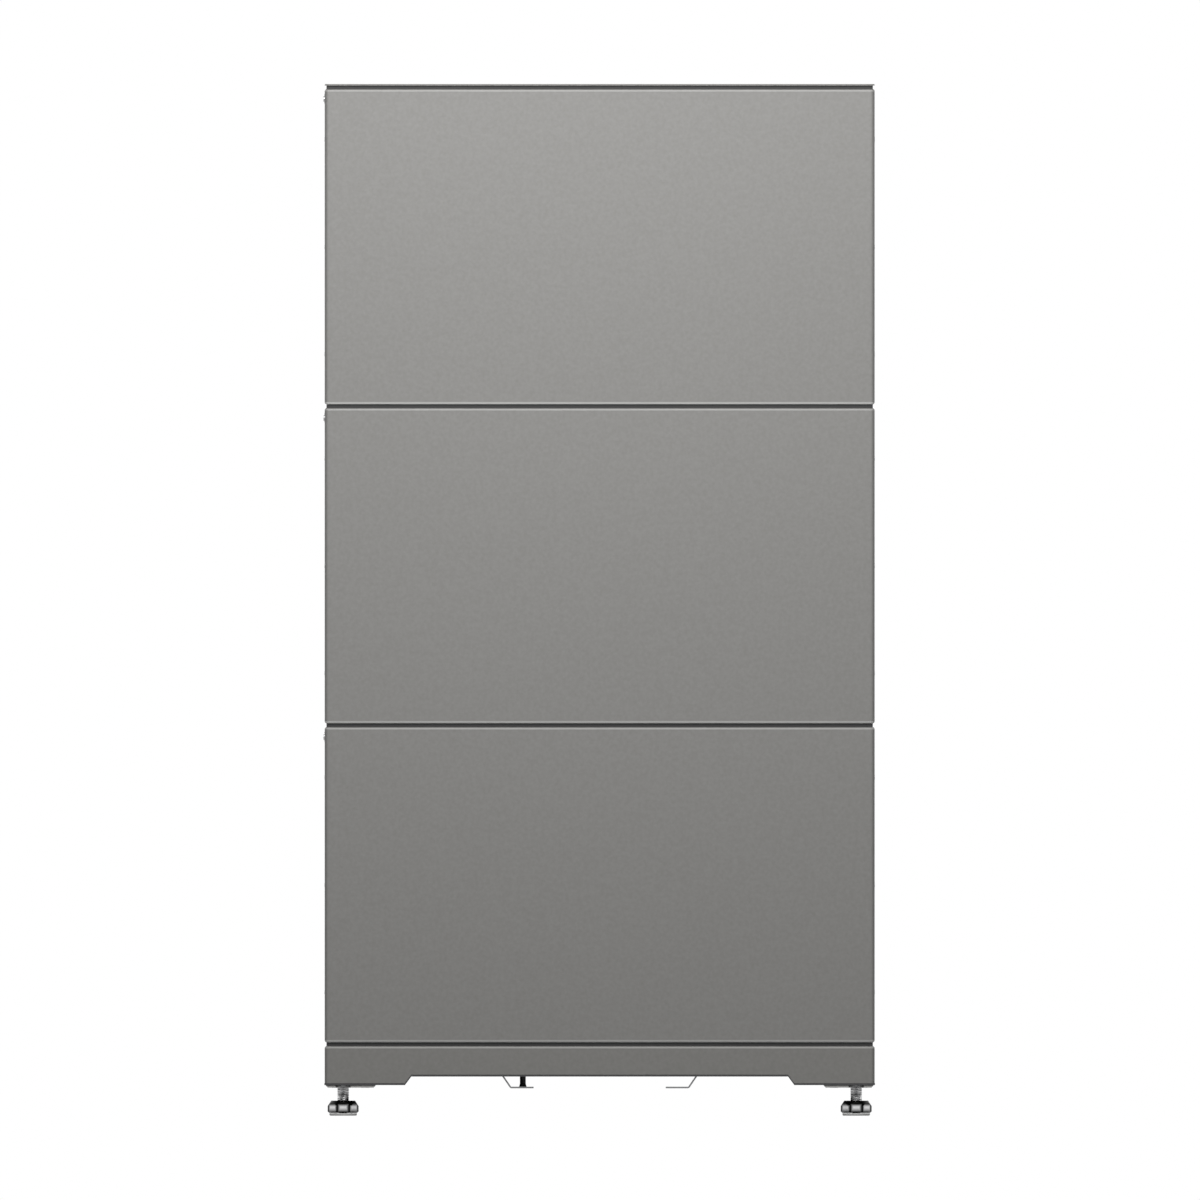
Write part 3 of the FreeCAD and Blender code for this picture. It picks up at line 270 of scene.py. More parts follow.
@dataclass(frozen=True)
class LidCoat(PowderCoat):
    """Powder coat of the lid, whose inset rim under the sheet is painted near black as painted shade."""

    sheet_underside: float = 0.0
    # The near-black painted shade on the rim under the sheet.
    rim_shade_colour: str = "#121212"

    def layers(self, tree: Tree, coordinates: Node) -> Layers:
        """Adds the nodes of the coat, and of the painted shade below the sheet's underside.

        Args:
            tree: The material's tree.
            coordinates: Its texture coordinates.

        Returns:
            How much of each layer shows, and its colour, from the lowest up.
        """
        point = add_node(tree, "ShaderNodeSeparateXYZ", {0: coordinates.outputs["Object"]})
        # Everything below the sheet's underside gets the painted shade of the seam.
        limits = {0: point.outputs[2], 1: self.sheet_underside}
        below = add_node(tree, "ShaderNodeMath", limits, operation="LESS_THAN")
        return [*super().layers(tree, coordinates), (below.outputs[0], self.rim_shade_colour)]


@dataclass(frozen=True)
class PlatedSteel(Finish):
    """Zinc-plated steel: bright, and darkened with painted shade and painted reflections where the shade
    attribute marks.
    """

    # The near-black colour of the painted shade and painted reflections that the shade attribute marks.
    foot_shade_colour: str = "#060606"

    def layers(self, tree: Tree, coordinates: Node) -> Layers:
        """Adds the nodes of the mottle and the painted shade, and gives both layers' shares and colours."""
        shade = add_node(tree, "ShaderNodeAttribute", attribute_name=SHADE)
        return [*super().layers(tree, coordinates), (shade.outputs["Fac"], self.foot_shade_colour)]


@dataclass(frozen=True)
class RolledMetal(Finish):
    """Rolled or milled metal: its grain is drawn out into fine lines along X."""

    drawn_out: float = 30.0


# What each finish gives the eye: the powder coats are matt greys, the nylons near black with a dull
# sheen, the rubber duller still, and the film on the cells and the board's resin glossy. Bare and plated
# metals are brighter, with lines where they were rolled or milled. Only the feet carry painted shade and
# painted reflections in their colour, and the powder coats carry painted highlights and painted shade on
# their roundings.
# The powder's real pebbles are about 0.4 mm wide: they are drawn twice as coarse, so that they show.
FINISHES: dict[Slot, Finish] = {
    Slot.CASE_PAINT: PowderCoat("powder_coated_housing", "#908f8c", "#81807d", 0.55),
    Slot.COVER_PAINT: PowderCoat("powder_coated_cover", "#92918f", "#81807d", 0.55),
    Slot.BASE_PAINT: PowderCoat("powder_coated_base", "#8c8b88", "#7d7c79", 0.55),
    Slot.DARK_PLASTIC: Finish("moulded_glass_filled_nylon", "#1d1d1e", "#19191a", 0.6),
    Slot.CONNECTOR_PLASTIC: Finish("moulded_connector_nylon", "#262628", "#202022", 0.5),
    Slot.SEAL_RUBBER: Finish("epdm_rubber", "#4a4a4b", "#434344", 0.75),
    Slot.CELL_CAN: Finish("blue_film_on_aluminium", "#2f5f9c", "#2b5891", 0.35, grain_depth=0.000005),
    Slot.WHITE_PLASTIC: Finish("moulded_polycarbonate_white", "#dedcd6", "#d6d4ce", 0.5),
    Slot.PLATE_ALUMINIUM: RolledMetal("milled_aluminium", "#c3c4c6", "#b8b9bb", 0.4, 1.0, 0.0006),
    Slot.BUSBAR_METAL: RolledMetal("rolled_copper", "#c9825c", "#bd7550", 0.35, 1.0, 0.0006),
    Slot.BOARD_RESIN: Finish("green_solder_resist", "#1c5a34", "#174c2c", 0.35),
    Slot.ZINC_STEEL: RolledMetal("zinc_plated_sheet", "#a3a4a5", "#949596", 0.45, 0.9, 0.0007),
    Slot.PLATE_STEEL: PowderCoat("powder_coated_foot_plate", "#b2b1af", "#abaaa8", 0.55),
    Slot.BUSH_STEEL: Finish("zinc_plated_bush", "#c2c2c3", "#b4b4b5", 0.35, 1.0),
    Slot.FOOT_STEEL: PlatedSteel("bright_zinc_plated_steel", "#d6d6d6", "#c8c8c9", 0.28, 1.0),
    Slot.PAD_PLASTIC: Finish("moulded_polyamide_light_grey", "#d4d4d2", "#cccccb", 0.55),
}


@dataclass(frozen=True)
class Ring:
    """One ring of a turned or hexagonal piece."""

    height: float
    radius: float = math.inf
    flat: float = math.inf

    def point(self, angle: float) -> Three:
        """Its point at an angle; a hexagon's corners are at 0 and each 60 degrees."""
        reach = min(self.radius, self.flat / math.cos(angle % SIXTH_TURN - SIXTH_TURN / 2))
        return (reach * math.cos(angle), reach * math.sin(angle), self.height)


def add_bands(shell: bmesh.types.BMesh, rows: Sequence[Sequence[bmesh.types.BMVert]]) -> None:
    """Adds a closed band of faces between each two neighbouring rows of points.

    Args:
        shell: The geometry that holds the points.
        rows: The rows, with as many points in each.
    """
    for near, far in zip(rows, rows[1:]):
        for i in range(len(near)):
            following = (i + 1) % len(near)
            shell.faces.new((near[i], near[following], far[following], far[i]))


def closed_mesh(name: str, shell: bmesh.types.BMesh) -> Mesh:
    """Turns closed geometry into a mesh whose faces point outwards.

    Args:
        name: The mesh's name.
        shell: The geometry, which is freed.

    Returns:
        The mesh.
    """
    bmesh.ops.recalc_face_normals(shell, faces=shell.faces)
    mesh = bpy.data.meshes.new(name)
    shell.to_mesh(mesh)
    shell.free()
    return mesh


def turned(name: str, rings: Sequence[Ring], segments: int = 48) -> Mesh:
    """Makes a closed mesh from rings about the Z axis.

    Args:
        name: The mesh's name.
        rings: The rings in order, from one end of the piece to the other, over its outside.
        segments: Points in each ring, a multiple of 6 where a ring has flats.

    Returns:
        The mesh.
    """
    shell = bmesh.new()
    angles = [FULL_TURN * step / segments for step in range(segments)]
    rows = [[shell.verts.new(ring.point(angle)) for angle in angles] for ring in rings]
    add_bands(shell, rows)
    shell.faces.new(rows[0][::-1])
    shell.faces.new(rows[-1])
    return closed_mesh(name, shell)


def place(mesh: Mesh, at: Vector, facing: Vector = UP) -> Mesh:
    """Moves a mesh from the origin to its place, its Z axis turned to a direction.

    Args:
        mesh: The mesh.
        at: Its place.
        facing: The direction.

    Returns:
        The same mesh.
    """
    turn = UP.rotation_difference(facing).to_matrix().to_4x4()
    mesh.transform(Matrix.Translation(at) @ turn)
    return mesh


def joined(name: str, meshes: Sequence[Mesh]) -> Mesh:
    """Joins meshes into one and deletes them.

    Args:
        name: The new mesh's name.
        meshes: The meshes.

    Returns:
        The new mesh.
    """
    whole = bmesh.new()
    for mesh in meshes:
        whole.from_mesh(mesh)
    result = bpy.data.meshes.new(name)
    whole.to_mesh(result)
    whole.free()
    for mesh in meshes:
        bpy.data.meshes.remove(mesh)
    return result


def add_object(name: str, data: bpy.types.ID) -> bpy.types.Object:
    """Puts an object in the scene.

    Args:
        name: Its name.
        data: Its mesh, lamp or camera.

    Returns:
        The object.
    """
    made = bpy.data.objects.new(name, data)
    bpy.context.scene.collection.objects.link(made)
    return made


def add_piece(
    name: str, mesh: Mesh, slot: Slot, body: str, replaces: Sequence[str] = ()
) -> bpy.types.Object:
    """Puts a finished mesh in the scene.

    Args:
        name: The piece's name.
        mesh: Its mesh, in place.
        slot: The material slot that it takes its finish from.
        body: The body that it rides on.
        replaces: CAD nodes that it stands for.

    Returns:
        The piece.
    """
    mesh.materials.clear()
    mesh.materials.append(FINISHES[slot].material())
    mesh.shade_smooth()
    mesh.set_sharp_from_angle(angle=SMOOTH_BELOW)
    piece = add_object(name, mesh)
    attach(piece, body)
    if replaces:
        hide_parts(*replaces)
    log.info("%s: %d faces, rides on %s", name, len(mesh.polygons), body)
    return piece


def dress(node: str, finish: Finish | None = None) -> None:
    """Gives a CAD node a finish, or else that of its material slot."""
    for slot in frame["nodes"][node].material_slots:
        slot.material = (finish or FINISHES[Slot(slot.material.name)]).material()


@dataclass(frozen=True)
class Bead:
    """A sealing bead round a rectangle, with rounded corners and a rounded top."""

    # The bead's section: across it and up, as shares of its width and height.
    SECTION: ClassVar[Steps] = ((-0.5, 0.0), (-0.42, 0.7), (0.0, 1.0), (0.42, 0.7), (0.5, 0.0))
    CORNER_STEPS: ClassVar[int] = 6

    width: float = 0.0018
    height: float = 0.0014
    corner: float = 0.004

    def mesh(self, name: str, low: Vector, high: Vector) -> Mesh:
        """Makes the bead.

        Args:
            name: The mesh's name.
            low: The lowest corner of the rectangle that the bead's middle line follows.
            high: The opposite corner, at the same height.

        Returns:
            The mesh.
        """
        # The middle line: each corner's centre, and the share of a full turn where its arc starts.
        line = []
        for x, y, start in (
            (high.x - self.corner, high.y - self.corner, 0.0),
            (low.x + self.corner, high.y - self.corner, 0.25),
            (low.x + self.corner, low.y + self.corner, 0.5),
            (high.x - self.corner, low.y + self.corner, 0.75),
        ):
            for step in range(self.CORNER_STEPS + 1):
                angle = FULL_TURN * (start + 0.25 * step / self.CORNER_STEPS)
                outward = Vector((math.cos(angle), math.sin(angle), 0))
                line.append((Vector((x, y, low.z)) + self.corner * outward, outward))
        shell = bmesh.new()
        rows = [
            [shell.verts.new(at + out * across * self.width + UP * up * self.height) for at, out in line]
            for across, up in self.SECTION
        ]
        add_bands(shell, rows + rows[:1])
        return closed_mesh(name, shell)


def block(name: str, size: Three, bevel: float) -> Mesh:
    """Makes a moulded block with bevelled edges.

    Args:
        name: The mesh's name.
        size: The block's width, depth and height.
        bevel: How far the bevel reaches.

    Returns:
        The mesh, its middle at the origin.
    """
    shell = bmesh.new()
    bmesh.ops.create_cube(shell, size=1.0, matrix=Matrix.Diagonal((*size, 1.0)))
    bmesh.ops.bevel(shell, geom=shell.edges[:], offset=bevel, segments=2, affect="EDGES")
    return closed_mesh(name, shell)


class GrowingTree:
    """A Geometry Nodes tree with named sizes, which ends in real geometry with one material."""

    def __init__(self, name: str, sizes: Sequence[str]) -> None:
        """Starts the tree.

        Args:
            name: The tree's name.
            sizes: The names of its size inputs.
        """
        self.group = bpy.data.node_groups.new(name, "GeometryNodeTree")
        sockets = self.group.interface
        sockets.new_socket("Geometry", in_out="OUTPUT", socket_type="NodeSocketGeometry")
        sockets.new_socket("Geometry", in_out="INPUT", socket_type="NodeSocketGeometry")
        sockets.new_socket("Pattern", in_out="INPUT", socket_type="NodeSocketObject")
        for size in sizes:
            sockets.new_socket(size, in_out="INPUT", socket_type="NodeSocketFloat")
        self.given = add_node(self.group, "NodeGroupInput").outputs

    def finish(self, geometry: Socket, slot: Slot) -> None:
        """Ends the tree in real geometry.

        Args:
            geometry: What the tree made.
            slot: The slot whose finish it gets.
        """
        real = add_node(self.group, "GeometryNodeRealizeInstances", {0: geometry})
        inputs = {"Geometry": real.outputs[0], "Material": FINISHES[slot].material()}
        painted = add_node(self.group, "GeometryNodeSetMaterial", inputs)
        add_node(self.group, "NodeGroupOutput", {0: painted.outputs[0]})

    def grow(
        self, name: str, sizes: Mapping[str, float], host: Mesh | None = None, pattern: Mesh | None = None
    ) -> Mesh:
        """Runs the tree.

        Args:
            name: The result's name.
            sizes: A value for each size input.
            host: The mesh that it grows on, where it needs one.
            pattern: The mesh that it repeats, where it does.

        Returns:
            The result as a plain mesh.
        """
        holder = add_object(name, host or bpy.data.meshes.new("empty_host"))
        repeated = bpy.data.objects.new(f"{name}_pattern", pattern)
        modifier = holder.modifiers.new(self.group.name, "NODES")
        modifier.node_group = self.group
        values = {**sizes, "Pattern": repeated}
        for socket in self.group.interface.items_tree:
            if socket.in_out == "INPUT" and socket.name in values:
                modifier[socket.identifier] = values[socket.name]
        bpy.context.view_layer.update()
        evaluated = holder.evaluated_get(bpy.context.evaluated_depsgraph_get())
        grown = bpy.data.meshes.new_from_object(evaluated)
        grown.name = name
        for made in (holder, repeated):
            bpy.data.objects.remove(made)
        return grown


class StudThread(GrowingTree):
    """A stud with one thread wound round it, as a rod whose radius follows the helix.

    Painted shade lies on it in uneven bands.
    """

    AROUND = 40
    STEPS_PER_TURN = 6
    BAND_SHARPNESS = 3.4
    # The bands of painted shade are uneven round the stud: this many waves round it, and this deep.
    SHADE_WAVES_AROUND = 9
    SHADE_WAVE_DEPTH = 0.15
    # The tree's inputs besides the length, in metres except for the last.
    SIZES = {
        "Radius": 0.0072,
        "Pitch": 0.002,
        "Depth": 0.00065,
        "Band Start": 0.0026,
        "Band Spacing": 0.0068,
        "Band Shade": 0.72,
    }

    # The rod's rows of points. Each line has a result, its operation and the values that it works on.
    ROWS = (
        ("turns", "DIVIDE", "Length", "Pitch"),
        ("rows", "MULTIPLY", "turns", STEPS_PER_TURN),
    )
    # How far each point moves inwards, from its place (x, y, z) over the rod's middle.
    HELIX = (
        ("angle", "ARCTAN2", "y", "x"),
        ("turn", "DIVIDE", "angle", FULL_TURN),
        ("risen", "DIVIDE", "z", "Pitch"),
        ("phase", "SUBTRACT", "risen", "turn"),
        ("valley", "PINGPONG", "phase", 0.5),
        ("share", "MULTIPLY", "valley", -2.0),
        ("outset", "MULTIPLY", "share", "Depth"),
    )
    # How dark the painted shade makes it: bands over the rod's length, uneven round it from the front.
    SHADE_BANDS = (
        ("over_end", "MULTIPLY_ADD", "Length", 0.5, "z"),
        ("over_start", "SUBTRACT", "over_end", "Band Start"),
        ("step", "DIVIDE", "over_start", "Band Spacing"),
        ("away", "PINGPONG", "step", 0.5),
        ("faded", "MULTIPLY_ADD", "away", -BAND_SHARPNESS, 1.0),
        ("band", "MAXIMUM", "faded", 0.0),
        ("from_front", "ADD", "turn", 0.25),
        ("round", "MULTIPLY", "from_front", FULL_TURN * SHADE_WAVES_AROUND),
        ("wave", "COSINE", "round"),
        ("round_factor", "MULTIPLY_ADD", "wave", SHADE_WAVE_DEPTH, 1.0 - SHADE_WAVE_DEPTH),
        ("uneven_band", "MULTIPLY", "band", "round_factor"),
        ("shade", "MULTIPLY", "uneven_band", "Band Shade"),
    )

    def __init__(self) -> None:
        """Builds the tree."""
        names = ("Length", *self.SIZES)
        super().__init__("stud_thread", names)
        known = {name: self.given[name] for name in names}
        self.work_out(self.ROWS, known)
        inputs = {
            "Vertices": self.AROUND,
            "Side Segments": known["rows"],
            "Radius": self.given["Radius"],
            "Depth": self.given["Length"],
        }
        rod = add_node(self.group, "GeometryNodeMeshCylinder", inputs)
        position = add_node(self.group, "GeometryNodeInputPosition").outputs[0]
        point = add_node(self.group, "ShaderNodeSeparateXYZ", {0: position}).outputs
        known.update(zip("xyz", point))
        self.work_out(self.HELIX + self.SHADE_BANDS, known)
        flat = add_node(self.group, "ShaderNodeCombineXYZ", {0: point[0], 1: point[1]})
        outward = add_node(self.group, "ShaderNodeVectorMath", {0: flat.outputs[0]}, operation="NORMALIZE")
        inputs = {0: outward.outputs[0], "Scale": known["outset"]}
        inward = add_node(self.group, "ShaderNodeVectorMath", inputs, operation="SCALE")
        inputs = {"Geometry": rod.outputs["Mesh"], "Offset": inward.outputs[0]}
        moved = add_node(self.group, "GeometryNodeSetPosition", inputs)
        inputs = {"Geometry": moved.outputs[0], "Name": SHADE, "Value": known["shade"]}
        shaded = add_node(self.group, "GeometryNodeStoreNamedAttribute", inputs, data_type="FLOAT")
        self.finish(shaded.outputs[0], Slot.FOOT_STEEL)

    def work_out(self, lines: Sequence[tuple[object, ...]], known: dict[str, Socket]) -> None:
        """Adds the nodes of some lines of working.

        Args:
            lines: Each line's result, operation and values, which are numbers or names of results.
            known: The results so far, to which the new ones are added.
        """
        for result, operation, *values in lines:
            inputs = {i: known.get(value, value) for i, value in enumerate(values)}
            known[result] = add_node(self.group, "ShaderNodeMath", inputs, operation=operation).outputs[0]


class Fasteners(GrowingTree):
    """One screw head or nut at each of some points, all facing one way and each turned by chance."""

    SEED = 7

    def __init__(self, slot: Slot) -> None:
        """Builds the tree.

        Args:
            slot: The slot whose finish the heads get.
        """
        super().__init__(f"fasteners_{slot.value}", ("Facing X", "Facing Y", "Facing Z"))
        direction = {i: self.given[f"Facing {axis}"] for i, axis in enumerate("XYZ")}
        facing = add_node(self.group, "ShaderNodeCombineXYZ", direction)
        inputs = {"Vector": facing.outputs[0]}
        turned_to = add_node(self.group, "FunctionNodeAlignRotationToVector", inputs, axis="Z")
        head = add_node(self.group, "GeometryNodeObjectInfo", {"Object": self.given["Pattern"]})
        inputs = {
            "Points": self.given["Geometry"],
            "Instance": head.outputs["Geometry"],
            "Rotation": turned_to.outputs[0],
        }
        heads = add_node(self.group, "GeometryNodeInstanceOnPoints", inputs)
        chance = {"Max": FULL_TURN, "Seed": self.SEED}
        spin = add_node(self.group, "FunctionNodeRandomValue", chance, data_type="FLOAT")
        about_axis = add_node(self.group, "ShaderNodeCombineXYZ", {2: spin.outputs[1]})
        inputs = {"Instances": heads.outputs[0], "Rotation": about_axis.outputs[0]}
        spun = add_node(self.group, "GeometryNodeRotateInstances", inputs)
        self.finish(spun.outputs[0], slot)

    def mesh(self, name: str, points: Sequence[Vector], facing: Vector, head: Mesh) -> Mesh:
        """Puts a head at each point.

        Args:
            name: The result's name.
            points: Where the heads sit.
            facing: The direction they face.
            head: One head or nut at the origin, facing up.

        Returns:
            All the heads as one mesh.
        """
        host = bpy.data.meshes.new(f"{name}_points")
        host.from_pydata([tuple(point) for point in points], [], [])
        sizes = {f"Facing {axis}": value for axis, value in zip("XYZ", facing)}
        return self.grow(name, sizes, host, head)


class Grid(GrowingTree):
    """One pattern repeated over an upright grid, as parts are on a board."""

    def __init__(self, slot: Slot) -> None:
        """Builds the tree.

        Args:
            slot: The slot whose finish the repeats get.
        """
        super().__init__(f"grid_{slot.value}", ("Columns", "Rows", "Step X", "Step Z"))
        pattern = add_node(self.group, "GeometryNodeObjectInfo", {"Object": self.given["Pattern"]})
        repeated = pattern.outputs["Geometry"]
        for axis, count, step in ((0, "Columns", "Step X"), (2, "Rows", "Step Z")):
            offset = add_node(self.group, "ShaderNodeCombineXYZ", {axis: self.given[step]})
            inputs = {"Count": self.given[count], "Offset": offset.outputs[0]}
            line = add_node(self.group, "GeometryNodeMeshLine", inputs)
            inputs = {"Points": line.outputs[0], "Instance": repeated}
            repeated = add_node(self.group, "GeometryNodeInstanceOnPoints", inputs).outputs[0]
        self.finish(repeated, slot)

    def mesh(
        self, name: str, pattern: Mesh, counts: tuple[int, int], steps: tuple[float, float], at: Vector
    ) -> Mesh:
        """Repeats a pattern to the right and upwards from its first place, as one mesh."""
        sizes = {"Columns": counts[0], "Rows": counts[1], "Step X": steps[0], "Step Z": steps[1]}
        return place(self.grow(name, sizes, pattern=pattern), at)


@dataclass(frozen=True)
class Screw:
    """A low button head with a hexagonal socket."""

    # The socket's bottom, as a share of its mouth.
    SOCKET_TAPER: ClassVar[float] = 0.96

    radius: float
    height: float
    bevel: float = 0.0004
    socket: float = 0.0012
    depth: float = 0.0008

    def head(self) -> Mesh:
        """Makes one head.

        Returns:
            The head at the origin, facing up.
        """
        rings = [
            Ring(-self.bevel, self.radius),
            Ring(self.height - self.bevel, self.radius),
            Ring(self.height, self.radius - self.bevel),
            Ring(self.height, flat=self.socket),
            Ring(self.height - self.depth, flat=self.socket * self.SOCKET_TAPER),
        ]
        return turned("screw_head", rings, segments=24)


@dataclass
class Foot:
    """A levelling foot: a threaded stud with a chamfered hexagon, standing on a round pad."""

    # Rings up the hexagon's upright faces, and as many again up its crown.
    STEPS: ClassVar[int] = 8
    # A point this close to an upright face is on it.
    ROUNDING: ClassVar[float] = 0.00001
    # Past this share of the flat's distance, a point is on the face that looks to the front or the back.
    FRONT_FACE: ClassVar[float] = 0.99
    # Past this share of the corner's distance, a point of another face is near enough to its outer edge.
    OUTER_EDGE: ClassVar[float] = 0.75

    corner: str
    thread: StudThread
    hexagon_corner: float = 0.0189
    hexagon_top: float = 0.0183
    hexagon_chamfer: float = 0.0018
    crown_radius: float = 0.0146
    crown_height: float = 0.0066
    # The painted dark reflection line: its distance from a face's middle, its half width, and its strength.
    line_offset: float = 0.0072
    line_reach: float = 0.0036
    line_shade: float = 1.5
    # The painted highlight band round the faces: its heights, and how far painted shade fades in below and
    # above them.
    shine_low: float = 0.0096
    shine_high: float = 0.0108
    fade_below: float = 0.005
    fade_above: float = 0.003
    pad_lip: float = 0.0006
    pad_top: float = 0.003
    pad_stud_root: float = 0.0048
    pad_stud_tip: float = 0.0044
    centre: Vector = field(init=False)

    def __post_init__(self) -> None:
        """Finds the foot's axis."""
        low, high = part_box(f"{self.corner}_foot_pad")
        self.centre = Vector(((low.x + high.x) / 2, (low.y + high.y) / 2, 0))

    def build(self) -> None:
        """Builds both pieces of the foot."""
        self.build_screw()
        self.build_pad()

    def build_screw(self) -> None:
        """Builds the stud and its hexagon, which turn together."""
        node = f"{self.corner}_foot_screw"
        low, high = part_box(node)
        hexagon = place(self.hexagon(low.z), self.centre)
        length = high.z - self.hexagon_top + self.thread.SIZES["Pitch"]
        stud = self.thread.grow(f"{node}_stud", {**self.thread.SIZES, "Length": length})
        place(stud, self.centre + Vector((0, 0, high.z - length / 2)))
        mesh = joined(f"{node}_dressed", [hexagon, stud])
        add_piece(f"{node}_dressed", mesh, Slot.FOOT_STEEL, f"{self.corner}_screw", [node])

    def hexagon(self, bottom: float) -> Mesh:
        """Makes the hexagon with its conical crown.

        Args:
            bottom: The height of its underside.

        Returns:
            The mesh, about the Z axis.
        """
        flat = self.hexagon_corner * math.cos(SIXTH_TURN / 2)
        foot = bottom + self.hexagon_chamfer
        edge = self.hexagon_top - self.crown_height
        side = (edge - foot) / self.STEPS
        rise = self.crown_height / self.STEPS
        taper = (self.hexagon_corner - self.crown_radius) / self.STEPS
        rings = [Ring(bottom, self.hexagon_corner - self.hexagon_chamfer, flat - self.hexagon_chamfer)]
        rings += [Ring(foot + side * step, self.hexagon_corner, flat) for step in range(self.STEPS)]
        rings += [
            Ring(edge + rise * step, self.hexagon_corner - taper * step, flat)
            for step in range(self.STEPS + 1)
        ]
        mesh = turned(f"{self.corner}_hexagon", rings, segments=96)
        self.paint_shading(mesh, flat)
        return mesh

    def paint_shading(self, mesh: Mesh, flat: float) -> None:
        """Paints shade into the hexagon's colour: a dark crown, a bright band round the faces with painted
        shade fading in below and above it, and a painted dark reflection inside each upright edge.

        Args:
            mesh: The hexagon.
            flat: How far its faces are from the axis.
        """
        shade = mesh.attributes.new(SHADE, "FLOAT", "POINT")
        for point in mesh.vertices:
            x, y, z = point.co
            turn = math.atan2(y, x) % SIXTH_TURN - SIXTH_TURN / 2
            on_crown = math.hypot(x, y) < flat / math.cos(turn) - self.ROUNDING
            along = flat * math.tan(abs(turn))
            # A painted dark reflection inside each upright edge, and painted shade below and above the
            # bright band.
            line = self.line_shade * (1 - abs(along - self.line_offset) / self.line_reach)
            lined = abs(y) > self.FRONT_FACE * flat or abs(x) > self.OUTER_EDGE * self.hexagon_corner
            below = (self.shine_low - z) / self.fade_below
            above = (z - self.shine_high) / self.fade_above
            darkest = max(0.0, line if lined else 0.0, below, above)
            shade.data[point.index].value = 1.0 if on_crown else min(1.0, darkest)

    def build_pad(self) -> None:
        """Builds the round pad with its rounded rim."""
        node = f"{self.corner}_foot_pad"
        low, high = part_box(node)
        radius = (high.x - low.x) / 2
        # The rim's rounding, the flat top, and the pad's own stud.
        rings = [
            Ring(0.0, radius - 2 * self.pad_lip),
            Ring(self.pad_lip, radius - 0.3 * self.pad_lip),
            Ring(2 * self.pad_lip, radius),
            Ring(self.pad_top - self.pad_lip, radius),
            Ring(self.pad_top, radius - self.pad_lip),
            Ring(self.pad_top, self.pad_stud_root),
            Ring(high.z, self.pad_stud_tip),
        ]
        mesh = place(turned(f"{node}_dressed", rings, segments=64), self.centre)
        add_piece(f"{node}_dressed", mesh, Slot.PAD_PLASTIC, f"{self.corner}_pad", [node])


